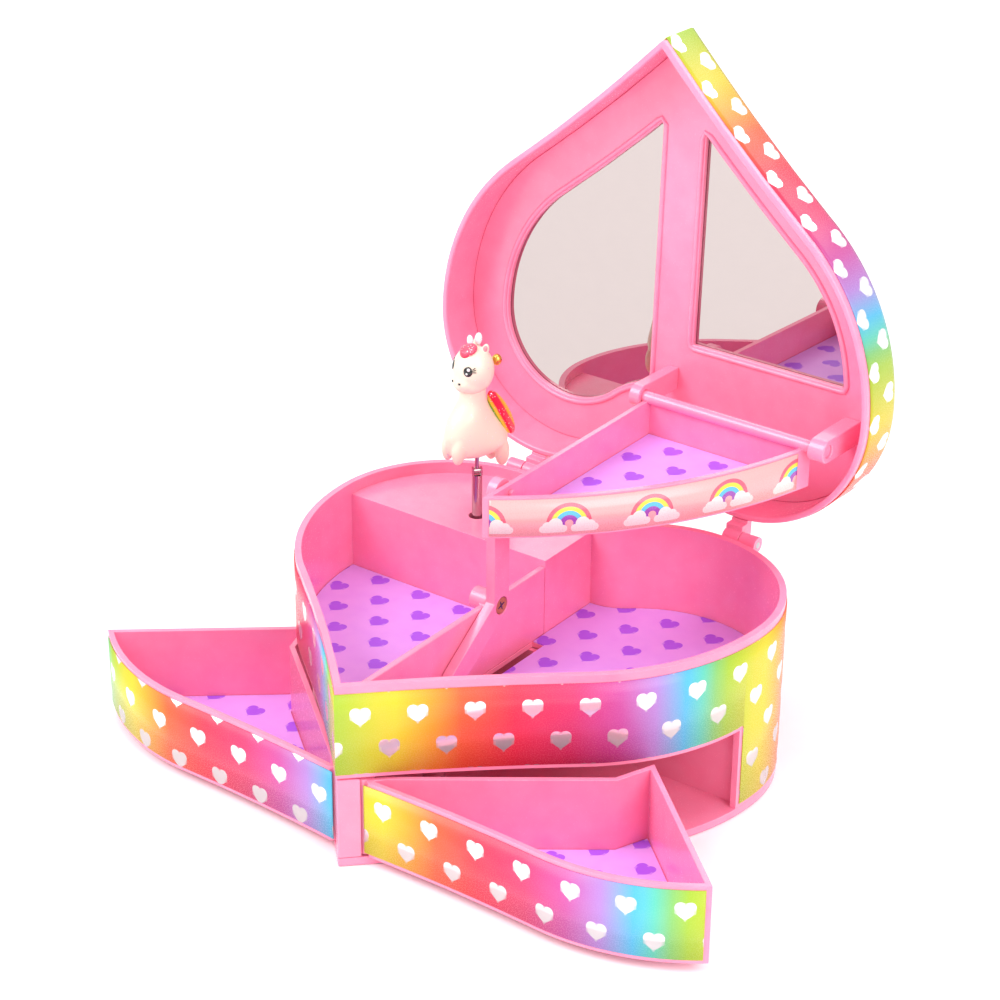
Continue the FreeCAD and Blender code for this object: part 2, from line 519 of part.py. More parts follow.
tray_foil_block = inset("tray_foil_block", tray_outline, "-foil",
                        (f"{TRAY_BOTTOM} + foil_margin / 2", "tray_top - foil_margin / 2"))
tray_foil_core = bind(extrude("tray_foil_core", tray_outline, "tray_height * 2"),
                      Placement__Base__z=TRAY_BOTTOM)
tray_foil_side = box("tray_foil_side", ("-heart_width", "tray_left + foil_margin"),
                     ("-heart_depth", "heart_depth"), ALL_Z)
tray_foil_rear = box("tray_foil_rear", WIDE, ("hinge_y + link_y - rod_radius - foil_margin", "heart_depth"), ALL_Z)
node(cut("tray_foil", tray_foil_block, tray_foil_core, tray_foil_side, tray_foil_rear), "tray_foil")

# Lift arm: a bent lever with its pivot screw and the pin that carries the tray's front.


def lever(name, start, end):
    """A round-ended bar in the lever's plane."""
    along = (end - start).normalize()
    half = g("arm_width") / 2
    across = V(0, -along.z, along.y) * half
    wire = Part.Wire([
        Part.makeLine(start + across, end + across),
        Part.Arc(end + across, end + along * half, end - across).toShape(),
        Part.makeLine(end - across, start - across),
        Part.Arc(start - across, start - along * half, start + across).toShape(),
    ])
    return extrude(name, profile(name + "_outline", Part.Face(wire)), "arm_thick", V(1, 0, 0))


ARM_X = g("partition_face") + g("arm_side_gap")
ELBOW = V(ARM_X, g("arm_y"), g("arm_z"))
LEG_TURN = math.radians(g("leg_slope"))
upper_bar = lever("upper_bar", ELBOW, ELBOW + V(0, g("link_y"), g("link_z")))
leg_bar = lever("leg_bar", ELBOW, ELBOW + V(0, -math.cos(LEG_TURN), -math.sin(LEG_TURN)) * g("leg_length"))
arm_bore = rod("arm_bore", "arm_screw_radius + run_clear", (f"{ARM_LEFT} - wall", "arm_y", "arm_z"),
               "arm_thick + wall * 2", "x")
HEAD_LEFT = f"({ARM_RIGHT} - arm_side_gap - screw_head_thick)"
arm_counterbore = rod("arm_counterbore", "screw_head_radius + arm_side_gap", (f"{HEAD_LEFT} - arm_side_gap",
                                                                              "arm_y", "arm_z"), "arm_thick", "x")
node(cut("lift_arm", fuse("arm_solid", upper_bar, leg_bar), arm_bore, arm_counterbore), "lift_arm")
node(rod("arm_pin", "arm_pin_radius", (ARM_RIGHT, "arm_y + link_y", "arm_z + link_z"), "arm_pin_length", "x"),
     "arm_pin")
screw_head = rod("arm_screw_head", "screw_head_radius", (HEAD_LEFT, "arm_y", "arm_z"), "screw_head_thick", "x")
SHANK_LEFT = "(partition_face - partition_thick - boss_length / 2)"
screw_shank = rod("arm_screw_shank", "arm_screw_radius", (SHANK_LEFT, "arm_y", "arm_z"), f"{HEAD_LEFT} - {SHANK_LEFT}",
                  "x")
node(fuse("arm_screw", screw_head, screw_shank), "arm_screw")

# Swing drawers, drawn closed and then swung out about their pins.
DRAWER_Z = ("plate + drawer_clear", f"{FLOOR_BOTTOM} - drawer_clear")
for side, word, turn in ((1, "right", -g("right_open")), (-1, "left", g("left_open"))):
    corners = (("drawer_inner_x", "pivot_y"), ("drawer_inner_x", "drawer_inner_y"), ("drawer_bend_x", "drawer_bend_y"),
               ("drawer_corner_x", "drawer_rear"), ("heart_width", "drawer_rear"), ("heart_width", "pivot_y"))
    region = polygon(*((side * g(x), g(y)) for x, y in corners))
    outline = profile(word + "_drawer_outline", heart(0).common(region).Faces[0])
    block = bind(extrude(word + "_drawer_block", outline, f"({DRAWER_Z[1]}) - ({DRAWER_Z[0]})"),
                 Placement__Base__z=DRAWER_Z[0])
    eye = rod(word + "_drawer_eye", "drawer_eye", (f"{side} * pivot_x", "pivot_y", DRAWER_Z[0]),
              f"({DRAWER_Z[1]}) - ({DRAWER_Z[0]})")
    void = inset(word + "_drawer_void", outline, "drawer_wall", (f"{DRAWER_Z[0]} + drawer_wall", "rim_height"))
    pin_bore = rod(word + "_drawer_bore", "drawer_pin_radius + run_clear", (f"{side} * pivot_x", "pivot_y", "0"),
                   "rim_height")
    shell = cut(word + "_drawer_shell", block, void)
    pivot = FreeCAD.Placement(V(), FreeCAD.Rotation(V(0, 0, 1), turn), V(side * g("pivot_x"), g("pivot_y"), 0))
    node(cut(word + "_drawer", fuse(word + "_drawer_solid", shell, eye), pin_bore), word + "_drawer", pivot)
    card_solid = inset(word + "_drawer_card", outline, "drawer_wall + card_gap",
                       (f"{DRAWER_Z[0]} + drawer_wall", f"{DRAWER_Z[0]} + drawer_wall + card"))
    node(group(word + "_drawer_lining", card_solid), word + "_drawer_lining", pivot)
    foil_z = (f"{DRAWER_Z[0]} + foil_margin", f"{DRAWER_Z[1]} - foil_margin")
    foil_ring = cut(word + "_foil_ring", heart_slab(word + "_foil_out", -g("foil"), foil_z),
                    heart_slab(word + "_foil_in", 0, ALL_Z))
    low = "drawer_inner_x" if side > 0 else "-heart_width"
    foil_zone = box(word + "_foil_zone", (low, f"{low} + heart_width - drawer_inner_x"),
                    ("pivot_y + foil_margin", "drawer_rear - foil_margin"), ALL_Z)
    node(common(word + "_drawer_foil", foil_ring, foil_zone), word + "_drawer_foil", pivot)

# Winding key, stem and cup under the rear left lobe.
key_hub = rod("key_hub", "key_hub", (BARREL_X, BARREL_Y, "key_bottom"), "key_height")
key_wing = box("key_wing", (f"{BARREL_X} - key_length / 2", f"{BARREL_X} + key_length / 2"),
               (f"{BARREL_Y} - key_thick / 2", f"{BARREL_Y} + key_thick / 2"),
               ("key_bottom", "key_bottom + key_height"))
key_socket = rod("key_socket", "stem_radius + run_clear / 2", (BARREL_X, BARREL_Y, "key_bottom + key_height / 2"),
                 "key_height")
node(cut("winding_key", fuse("key_solid", key_hub, key_wing), key_socket), "winding_key")
node(ring_body("winding_stem", "stem_radius", None, (BARREL_X, BARREL_Y, "key_bottom + key_height / 2"),
               "stem_top - key_bottom - key_height / 2"), "winding_stem")
cup_solid = rod("cup_solid", "cup_radius + cup_wall", (BARREL_X, BARREL_Y, "plate"), "cup_top - plate")
cup_void = rod("cup_void", "cup_radius", (BARREL_X, BARREL_Y, "0"), "cup_top - cup_wall")
cup_stem = rod("cup_stem", "stem_radius + run_clear", (BARREL_X, BARREL_Y, "0"), "rim_height")
node(cut("key_cup", cup_solid, cup_void, cup_stem), "key_cup")

# Musical movement: bedplate, spring barrel, pinned cylinder, comb and governor.
BED_TOP = "(floor_top + bed_thick)"
GEAR_Z = f"({BED_TOP} + bed_gap)"


def gear_face(teeth, start_turn):
    """A spur gear's outline with straight-sided teeth and backlash."""
    module = g("gear_module")
    pitch = module * teeth / 2
    root, tip = pitch - 1.2 * module, pitch + 0.7 * module
    step = 2 * math.pi / teeth
    points = []
    for tooth in range(int(teeth)):
        middle = start_turn + tooth * step
        for radius, share in ((root, -0.25), (tip, -0.07), (tip, 0.07), (root, 0.25)):
            points.append((radius * math.cos(middle + share * step), radius * math.sin(middle + share * step)))
    return polygon(*points)


def gear(name, teeth, start_turn, x, y):
    """A toothed wheel standing on the movement's bed."""
    flat = at(profile(name + "_face", gear_face(teeth, start_turn)), x, y, GEAR_Z)
    return extrude(name, flat, "gear_thick")


TOOTH_TO_POST = BARREL_TURN + math.pi
GOVERNOR_TURN = TOOTH_TO_POST - g("governor_steps") * 2 * math.pi / g("barrel_teeth")
GOVERNOR_FROM = g("gear_module") * (g("barrel_teeth") + g("governor_teeth")) / 2
GOVERNOR_X = f"({BARREL_X} + {GOVERNOR_FROM * math.cos(GOVERNOR_TURN)})"
GOVERNOR_Y = f"({BARREL_Y} + {GOVERNOR_FROM * math.sin(GOVERNOR_TURN)})"
bed_block = box("bed_block", (f"{BARREL_X} - barrel_radius", "post_x + cylinder_radius + wall"),
                (f"{BARREL_Y} - barrel_radius", f"{GOVERNOR_Y} + wall"), ("floor_top", BED_TOP))
bed_stem = rod("bed_stem", "stem_radius + run_clear", (BARREL_X, BARREL_Y, "0"), "rim_height")
node(cut("movement_bed", common("bed_solid", bed_block, heart_slab("bed_heart", CARD_DEPTH, ALL_Z)), bed_stem),
     "movement_bed")
barrel_gear = gear("barrel_gear", g("barrel_teeth"), TOOTH_TO_POST, BARREL_X, BARREL_Y)
barrel_drum = rod("barrel_drum", "barrel_radius", (BARREL_X, BARREL_Y, f"{GEAR_Z} + gear_thick"), "barrel_height")
barrel_bore = rod("barrel_bore", "stem_radius + run_clear / 2", (BARREL_X, BARREL_Y, "0"), "rim_height")
node(cut("spring_barrel", fuse("barrel_solid", barrel_gear, barrel_drum), barrel_bore), "spring_barrel")
HALF_TOOTH = math.pi / g("cylinder_teeth")
cylinder_gear = gear("cylinder_gear", g("cylinder_teeth"), BARREL_TURN + HALF_TOOTH, "post_x", "post_y")
cylinder_drum = rod("cylinder_drum", "cylinder_radius", ("post_x", "post_y", f"{GEAR_Z} + gear_thick"),
                    f"cylinder_top - {GEAR_Z} - gear_thick")
cylinder_bore = rod("cylinder_bore", "tube_radius + run_clear", ("post_x", "post_y", "0"), "heart_width")
node(cut("music_cylinder", fuse("cylinder_solid", cylinder_gear, cylinder_drum), cylinder_bore), "music_cylinder")

COMB_NEAR = "(post_y + cylinder_radius + comb_gap)"
comb_plate = box("comb_plate", ("post_x - comb_thick / 2", "post_x + comb_thick / 2"),
                 (COMB_NEAR, f"{COMB_NEAR} + comb_length"), (BED_TOP, "cylinder_top"))
comb_foot_cut = box("comb_foot_cut", ("post_x - comb_length", "post_x + comb_length"),
                    ("post_y", f"{COMB_NEAR} + comb_root"), ("0", f"{GEAR_Z} + gear_thick + bed_gap"))
comb_slits = []
SLIT_LOW = g("floor_top") + g("bed_thick") + g("bed_gap") + g("gear_thick") + g("comb_pitch")
for slit in range(int((g("cylinder_top") - SLIT_LOW) / g("comb_pitch"))):
    comb_slits.append(box(f"comb_slit{slit}", ("post_x - comb_length", "post_x + comb_length"),
                          ("post_y", f"{COMB_NEAR} + comb_length - comb_root"),
                          (f"{SLIT_LOW} + {slit} * comb_pitch", f"{SLIT_LOW} + {slit} * comb_pitch + comb_slit")))
node(cut("comb", comb_plate, comb_foot_cut, *comb_slits), "comb")

governor_gear = gear("governor_gear", g("governor_teeth"),
                     GOVERNOR_TURN + math.pi + math.pi / g("governor_teeth"), GOVERNOR_X, GOVERNOR_Y)
governor_shaft = rod("governor_shaft", "fan_shaft", (GOVERNOR_X, GOVERNOR_Y, GEAR_Z), f"fan_top - {GEAR_Z}")
governor_wing = box("governor_wing", (f"{GOVERNOR_X} - fan_radius", f"{GOVERNOR_X} + fan_radius"),
                    (f"{GOVERNOR_Y} - fan_thick / 2", f"{GOVERNOR_Y} + fan_thick / 2"),
                    ("fan_top - fan_height", "fan_top"))
node(fuse("governor_fan", governor_gear, governor_shaft, governor_wing), "governor_fan")

# Figure post: a sliding tube with a knee at its top.
TUBE_TOP = "(knee_z - knee_drop)"
node(ring_body("post_tube", "tube_radius", None, ("post_x", "post_y", "tube_bottom"), f"{TUBE_TOP} - tube_bottom"),
     "post_tube")
KNEE = V(g("post_x"), g("post_y"), g("knee_z"))
KNEE_TURN = FreeCAD.Rotation(V(0, 0, 1), g("fold_turn"))
FIGURE_TURN = FreeCAD.Rotation(V(0, 0, 1), g("face_turn"))


def turned(obj, rotation, center):
    """Turns an object drawn at the origin and moves it to a centre."""
    obj.Placement = FreeCAD.Placement(center, rotation)
    return obj


cheeks = []
for side in (-1, 1):
    cheek = doc.addObject("Part::Box", f"knee_cheek{side + 1}")
    bind(cheek, Length="knee_eye * 2", Width="knee_cheek", Height="knee_drop + knee_eye")
    at(cheek, "-knee_eye", f"{side} * (knee_slot + knee_cheek) / 2 - knee_cheek / 2", "-knee_drop")
    cheeks.append(cheek)
knee_pin = rod("knee_pin", "knee_pin_radius", ("0", "-knee_slot / 2 - knee_cheek", "0"), "knee_slot + knee_cheek * 2",
               "y")
node(turned(fuse("knee_fork", *cheeks, knee_pin), KNEE_TURN, KNEE), "knee_fork")
eye_barrel = rod("eye_barrel", "knee_eye", ("0", "-knee_slot / 2 + run_clear", "0"), "knee_slot - run_clear * 2", "y")
eye_rod = rod("eye_rod", "stem_pin_radius", ("0", "0", "0"), "figure_foot - knee_z + plate")
eye_bore = rod("eye_bore", "knee_pin_radius + run_clear", ("0", "-knee_slot", "0"), "knee_slot * 2", "y")
node(turned(cut("figure_stem", fuse("eye_solid", eye_barrel, eye_rod), eye_bore), KNEE_TURN, KNEE), "figure_stem")

# Small animal figure on four short legs, drawn facing +X with its feet at zero.
FIGURE_AT = V(g("post_x"), g("post_y"), g("figure_foot"))


def ball(name, center, radius, turn=0.0):
    """A round part of the figure, turned so that its seam stays clear of what it meets."""
    obj = doc.addObject("Part::Sphere", name)
    obj.Radius = radius
    obj.Placement = FreeCAD.Placement(V(*center), FreeCAD.Rotation(V(0, 0, 1), turn))
    return obj


def cone(name, foot, radii, height, lean=0.0):
    """A tapered part of the figure, upright or leaning forwards."""
    obj = doc.addObject("Part::Cone", name)
    obj.Radius1 = radii[0]
    obj.Radius2 = radii[1]
    obj.Height = height
    obj.Placement = FreeCAD.Placement(V(*foot), FreeCAD.Rotation(V(0, 1, 0), lean))
    return obj


parts_of_body = [ball("chest", (4.0, 0, 8.4), 7.0), ball("rump", (-4.2, 0, 8.1), 7.4),
                 cone("neck", (0.2, 0, 8.6), (8.2, 5.0), 21.0)]
for side in (-1, 1):
    for word, x, y in (("front", 8.6, 2.9), ("hind", -8.0, 3.1)):
        parts_of_body.append(cone(f"{word}_leg{side + 1}", (x, side * y, -2.6), (1.9, 2.5), 10.0))
figure_bore = rod("figure_bore", "stem_pin_radius + run_clear", ("0", "0", "-plate"), "plate * 2 + run_clear")
body_solid = fuse("body_solid", *parts_of_body)
node(turned(cut("figure_body", body_solid, figure_bore), FIGURE_TURN, FIGURE_AT), "figure_body")
head = [ball("skull", (1.8, 0, 37.4), 8.0), ball("muzzle", (6.4, 0, 34.8), 4.4)]
for side in (-1, 1):
    head.append(ball(f"ear{side + 1}", (0.6, side * 3.0, 45.6), 1.9))
head_solid = fuse("head_solid", *head)
node(turned(cut("figure_head", head_solid, body_solid), FIGURE_TURN, FIGURE_AT), "figure_head")
TAIL_LEAN = 19.5
tail_solid = fuse("tail_solid", cone("tail_low", (-13.0, 0, 12.0), (1.5, 3.0), 10.6, TAIL_LEAN),
                  cone("tail_high", (-9.4617, 0, 21.9919), (3.0, 1.2), 10.6, TAIL_LEAN))
node(turned(cut("figure_tail", tail_solid, body_solid, head_solid), FIGURE_TURN, FIGURE_AT), "figure_tail")
locks = [ball("forelock", (4.8, 0, 44.0), 2.7), ball("back_lock", (-6.6, 0, 41.6), 2.3, 180.0)]
mane = cut("figure_mane", fuse("mane_solid", *locks), head_solid, body_solid, tail_solid)
node(turned(mane, FIGURE_TURN, FIGURE_AT), "figure_mane")

doc.recompute()
failed = [obj.Name for obj in doc.Objects if "Invalid" in obj.State or "Error" in obj.State]
for obj in NODES:
    if obj.Shape.isNull() or not obj.Shape.isValid() or not obj.Shape.Solids:
        failed.append(obj.Label)
if failed:
    raise RuntimeError("failed objects: " + ", ".join(failed))
os.makedirs("parts", exist_ok=True)
for obj in NODES:
    obj.Shape.exportStep(f"parts/{obj.Label}.step")
    print(f"{obj.Label}: {len(obj.Shape.Solids)} solids, {obj.Shape.Volume:.1f} mm3")
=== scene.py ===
"""Looks of a heart-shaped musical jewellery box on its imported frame.

Lengths are in millimetres in the code and become metres in the meshes. The rest pose has the lid
open, the tray lifted, both drawers swung out and the figure standing on its post.
"""
import json
import logging
import math
from dataclasses import dataclass
from enum import Enum
from functools import cache

import bmesh
import bpy
import numpy as np
from mathutils import Matrix, Vector

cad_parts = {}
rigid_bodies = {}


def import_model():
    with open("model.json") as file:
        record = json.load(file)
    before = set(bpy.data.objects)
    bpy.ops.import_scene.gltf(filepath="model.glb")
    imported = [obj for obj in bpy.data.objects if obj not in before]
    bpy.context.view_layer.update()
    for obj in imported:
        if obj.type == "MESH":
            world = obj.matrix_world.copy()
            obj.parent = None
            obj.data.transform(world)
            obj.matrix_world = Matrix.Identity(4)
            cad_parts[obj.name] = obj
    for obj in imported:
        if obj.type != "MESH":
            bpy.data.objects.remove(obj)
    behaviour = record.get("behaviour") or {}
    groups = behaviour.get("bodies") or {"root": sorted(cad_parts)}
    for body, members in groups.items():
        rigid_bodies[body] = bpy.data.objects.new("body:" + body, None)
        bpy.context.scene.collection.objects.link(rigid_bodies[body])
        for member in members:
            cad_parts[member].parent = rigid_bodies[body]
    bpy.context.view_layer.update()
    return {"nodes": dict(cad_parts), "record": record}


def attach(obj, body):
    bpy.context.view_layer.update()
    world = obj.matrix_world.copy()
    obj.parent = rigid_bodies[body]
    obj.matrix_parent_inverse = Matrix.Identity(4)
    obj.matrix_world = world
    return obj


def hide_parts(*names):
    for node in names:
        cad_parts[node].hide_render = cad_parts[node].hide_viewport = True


for spare in list(bpy.data.objects):
    bpy.data.objects.remove(spare)
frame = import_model()
RECORD = frame["record"]
BODY_OF = {label: body for body, labels in RECORD["behaviour"]["bodies"].items() for label in labels}
SLOT_OF = {row["node"]: row["material_slot"] for row in RECORD["subparts"]}
LOG = logging.getLogger("music_box")
MM = 0.001
UV_UNIT = 0.01
GRAIN_UNIT = 0.01
FLOAT, VECTOR, COLOR = "NodeSocketFloat", "NodeSocketVector", "NodeSocketColor"
Socket, Node, Tree = bpy.types.NodeSocket, bpy.types.Node, bpy.types.NodeTree
Array = np.ndarray
Color = tuple[float, float, float]
Place = tuple[float, float, float]
Row = tuple[float, ...]
Stops = tuple[tuple[float, Color], ...]
Shape = tuple[Array, Array]


def srgb(*levels: int) -> Color:
    """A display colour, as red, green and blue from 0 to 255, in linear light."""
    share = np.array(levels) / 255.0
    return tuple(np.where(share <= 0.04045, share / 12.92, ((share + 0.055) / 1.055) ** 2.4).tolist())


def run(*rows: tuple[float, int, int, int]) -> Stops:
    """A run of display colours, each given as its place, red, green and blue, as linear light."""
    return tuple((row[0], srgb(*row[1:])) for row in rows)


def faded(color: Color, share: float) -> Color:
    """A colour at a share of its light."""
    return tuple(share * c for c in color)


def configure(target: object, settings: dict) -> None:
    """Sets properties of a Blender object by name."""
    for key, value in settings.items():
        setattr(target, key, value)


def add_object(name: str, data: bpy.types.ID) -> bpy.types.Object:
    """A new object in the scene."""
    made = bpy.data.objects.new(name, data)
    bpy.context.scene.collection.objects.link(made)
    return made


class Side(Enum):
    """A side of the box, as the sign of its X."""

    LEFT = -1
    RIGHT = 1


class Graph:
    """A node tree that is filled by short calls."""

    def __init__(self, tree: Tree) -> None:
        """Keeps the tree to fill."""
        self.tree = tree

    def put(self, socket: Socket, value: object) -> None:
        """Links a socket into another, or sets a constant on it.

        Args:
            socket: the input.
            value: an output socket or a constant.
        """
        if isinstance(value, Socket):
            self.tree.links.new(value, socket)
        else:
            socket.default_value = (*value, 1.0) if socket.type == "RGBA" else value

    def fill(self, node: Node, inputs: dict) -> None:
        """Puts values or sockets into a node's inputs, by name or number."""
        for key, value in inputs.items():
            self.put(node.inputs[key], value)

    def add(self, kind: str, inputs: dict | None = None, **settings: object) -> Node:
        """Adds a node.

        Args:
            kind: the node's type name, without its first two words.
            inputs: values or sockets by input name or number.
            settings: its properties.

        Returns:
            The node.
        """
        node = self.tree.nodes.new("ShaderNode" + kind)
        configure(node, settings)
        self.fill(node, inputs or {})
        return node

    def group(self, tree: Tree, **inputs: object) -> list[Socket]:
        """Places a shared group, with its inputs by name, and gives its outputs."""
        return list(self.add("Group", inputs, node_tree=tree).outputs)

    def math(self, operation: str, *values: object) -> Socket:
        """One step of arithmetic on up to three values or sockets."""
        return self.add("Math", dict(enumerate(values)), operation=operation).outputs[0]

    def square(self, value: Socket) -> Socket:
        """A value times itself."""
        return self.math("MULTIPLY", value, value)

    def reach(self, across: Socket, up: Socket) -> Socket:
        """Distance of a place from the middle of a plane."""
        return self.math("SQRT", self.math("ADD", self.square(across), self.square(up)))

    def vector(self, operation: str, place: Socket, by: object) -> Node:
        """One step of vector arithmetic, by a vector or, to scale, by a number."""
        number = 3 if operation == "SCALE" else 1
        return self.add("VectorMath", {0: place, number: by}, operation=operation)

    def mix(self, factor: object, first: object, second: object) -> Socket:
        """A colour between two colours or sockets, by the share of the second."""
        inputs = {0: factor, 6: first, 7: second}
        return self.add("Mix", inputs, data_type="RGBA").outputs[2]

    def ramp(self, factor: object, stops: Stops, stepped: bool = False) -> Socket:
        """A run of colours.

        Args:
            factor: place along the run.
            stops: places and colours.
            stepped: whether each colour holds until the next one.

        Returns:
            The colour's socket.
        """
        node = self.add("ValToRGB", {0: factor})
        bar = node.color_ramp
        bar.interpolation = "CONSTANT" if stepped else "LINEAR"
        while len(bar.elements) < len(stops):
            bar.elements.new(1.0)
        for element, (place, color) in zip(bar.elements, stops):
            element.position = place
            element.color = (*color, 1.0)
        return node.outputs[0]

    def spread(self, factor: object, low: float, high: float) -> Socket:
        """Maps a share from 0 to 1 onto a range."""
        return self.add("MapRange", {0: factor, 3: low, 4: high}).outputs[0]

    def share(self, value: object, low: float, high: float) -> Socket:
        """Maps a range onto a share from 0 to 1."""
        return self.add("MapRange", {0: value, 1: low, 2: high}).outputs[0]


class Effects:
    """Shared node groups, each built once."""

    @staticmethod
    def start(name: str, inputs: dict[str, str], outputs: dict[str, str]) -> tuple[Graph, dict, dict]:
        """Opens a new group with named sockets.

        Args:
            name: the group's name.
            inputs: socket types by name.
            outputs: socket types by name.

        Returns:
            The graph, and its input and output sockets by name.
        """
        tree = bpy.data.node_groups.new(name, "ShaderNodeTree")
        for way, rows in (("INPUT", inputs), ("OUTPUT", outputs)):
            for label, kind in rows.items():
                tree.interface.new_socket(label, in_out=way, socket_type=kind)
        graph = Graph(tree)
        source, target = tree.nodes.new("NodeGroupInput"), tree.nodes.new("NodeGroupOutput")
        return graph, {s.name: s for s in source.outputs}, {s.name: s for s in target.inputs}

    @staticmethod
    @cache
    def grain() -> Tree:
        """Broad mottling and fine grain of a surface: two noises of different scale."""
        graph, given, result = Effects.start("surface_grain", {"Vector": VECTOR, "Scale": FLOAT},
                                             {"Mottle": FLOAT, "Fine": FLOAT})
        for label, scale, detail in (("Mottle", 14.0, 3.0), ("Fine", given["Scale"], 5.0)):
            inputs = {"Vector": given["Vector"], "Scale": scale, "Detail": detail}
            graph.put(result[label], graph.add("TexNoise", inputs).outputs[0])
        return graph.tree

    @staticmethod
    @cache
    def hearts() -> Tree:
        """Staggered rows of hearts: inside where (x^2 + y^2 - 1)^3 - x^2 y^3 is below zero in a cell."""
        inputs = {"Vector": VECTOR, "Pitch": FLOAT, "Row": FLOAT, "Size": FLOAT}
        graph, given, result = Effects.start("heart_rows", inputs, {"Mask": FLOAT})
        sink, blur = 0.1, 0.03
        parts = graph.add("SeparateXYZ", {0: given["Vector"]})
        row = graph.math("DIVIDE", parts.outputs[1], given["Row"])
        odd = graph.math("FLOORED_MODULO", graph.math("FLOOR", row), 2.0)
        along = graph.math("DIVIDE", parts.outputs[0], given["Pitch"])
        along = graph.math("MULTIPLY_ADD", odd, 0.5, along)
        sides = []
        for cell, span in ((along, given["Pitch"]), (row, given["Row"])):
            off = graph.math("SUBTRACT", graph.math("FRACT", cell), 0.5)
            sides.append(graph.math("MULTIPLY", off, graph.math("DIVIDE", span, given["Size"])))
        x, y = sides[0], graph.math("ADD", sides[1], sink)
        across, up = graph.square(x), graph.square(y)
        inner = graph.math("SUBTRACT", graph.math("ADD", across, up), 1.0)
        cube = graph.math("MULTIPLY", graph.square(inner), inner)
        cleft = graph.math("MULTIPLY", across, graph.math("MULTIPLY", up, y))
        graph.put(result["Mask"], graph.share(graph.math("SUBTRACT", cube, cleft), blur, -blur))
        return graph.tree

    @staticmethod
    @cache
    def glitter() -> Tree:
        """Loose sparkles: round the middle of each cell whose random value is below a threshold."""
        inputs = {"Vector": VECTOR, "Scale": FLOAT, "Amount": FLOAT}
        graph, given, result = Effects.start("glitter", inputs, {"Spark": FLOAT, "Tint": COLOR})
        radius = 0.34
        cells = graph.add("TexVoronoi", {"Vector": given["Vector"], "Scale": given["Scale"]})
        chance = graph.add("SeparateColor", {0: cells.outputs[1]}).outputs[0]
        lucky = graph.math("LESS_THAN", chance, given["Amount"])
        near = graph.math("LESS_THAN", cells.outputs[0], radius)
        graph.put(result["Spark"], graph.math("MULTIPLY", lucky, near))
        graph.put(result["Tint"], cells.outputs[1])
        return graph.tree


class Finish:
    """A material made of nodes: base class with the parts every finish shares."""

    name: str
    fineness: float
    uv: bool = False

    def paint(self, graph: Graph, place: Socket) -> dict:
        """What goes into the shader.

        Args:
            graph: the material's graph.
            place: the place on the surface in millimetres.

        Returns:
            Values or sockets by the names of the shader's inputs.
        """
        raise NotImplementedError

    @cache
    def material(self) -> bpy.types.Material:
        """The finish as a material, made on first use.

        Returns:
            The material.
        """
        made = bpy.data.materials.new(self.name + "_finish")
        made.use_nodes = True
        made.node_tree.nodes.clear()
        graph = Graph(made.node_tree)
        shader = graph.add("BsdfPrincipled")
        graph.add("OutputMaterial", {0: shader.outputs[0]})
        place = graph.add("TexCoord").outputs["UV" if self.uv else "Object"]
        unit = 1.0 / UV_UNIT if self.uv else 1.0 / MM
        graph.fill(shader, self.paint(graph, graph.vector("SCALE", place, unit).outputs[0]))
        return made

    def grain(self, graph: Graph, place: Socket) -> list[Socket]:
        """Broad mottling and fine grain at a place, each a share from 0 to 1."""
        shrunk = graph.vector("SCALE", place, GRAIN_UNIT).outputs[0]
        return graph.group(Effects.grain(), Vector=shrunk, Scale=self.fineness)

    def bump(self, graph: Graph, height: Socket, strength: float, depth: float) -> Socket:
        """The normal of a surface raised by a height field, to a depth in metres."""
        inputs = {"Strength": strength, "Distance": depth, "Height": height}
        return graph.add("Bump", inputs).outputs[0]


@dataclass(frozen=True)
class Plastic(Finish):
    """Moulded plastic with faint flow marks."""

    name: str
    color: Color
    deep: Color
    roughness: float = 0.28
    coat: float = 0.25
    scatter: float = 0.0
    fineness = 160.0

    def paint(self, graph: Graph, place: Socket) -> dict:
        """Colour drifts between two tones, and roughness follows the fine grain."""
        mottle, fine = self.grain(graph, place)
        return {
            "Base Color": graph.mix(graph.spread(mottle, -0.2, 0.8), self.color, self.deep),
            "Roughness": graph.spread(fine, self.roughness - 0.07, self.roughness + 0.09),
            "Coat Weight": self.coat, "Coat Roughness": 0.12,
            "Subsurface Weight": self.scatter, "Subsurface Radius": (0.006, 0.002, 0.003),
            "Normal": self.bump(graph, fine, 0.06, 0.0004)}


@dataclass(frozen=True)
class Metal(Finish):
    """Plated or plain metal with drawn marks and smudges."""

    name: str
    color: Color
    roughness: float
    fineness = 420.0

    def paint(self, graph: Graph, place: Socket) -> dict:
        """Tone and roughness vary with a fine grain."""
        mottle, fine = self.grain(graph, place)
        return {
            "Base Color": graph.mix(mottle, self.color, faded(self.color, 0.82)), "Metallic": 1.0,
            "Roughness": graph.spread(fine, self.roughness * 0.6, self.roughness * 1.5),
            "Normal": self.bump(graph, fine, 0.05, 0.0002)}


@dataclass(frozen=True)
class Mirror(Finish):
    """Clear flat mirror with a faint haze."""

    name: str
    color: Color
    fineness = 40.0

    def paint(self, graph: Graph, place: Socket) -> dict:
        """Bare metal whose roughness drifts a little with the grain."""
        mottle, fine = self.grain(graph, place)
        return {
            "Base Color": graph.mix(mottle, self.color, faded(self.color, 0.97)), "Metallic": 1.0,
            "Roughness": graph.spread(fine, 0.0, 0.03)}


class HeartPrint(Finish):
    """A print with rows of hearts: base class of finishes with a pitch, row, size and shift."""

    def hearts(self, graph: Graph, place: Socket) -> Socket:
        """Whether a place lies in a heart, from 0 to 1."""
        moved = graph.vector("ADD", place, self.shift).outputs[0]
        rows = {"Pitch": self.pitch, "Row": self.row, "Size": self.size}
        return graph.group(Effects.hearts(), Vector=moved, **rows)[0]


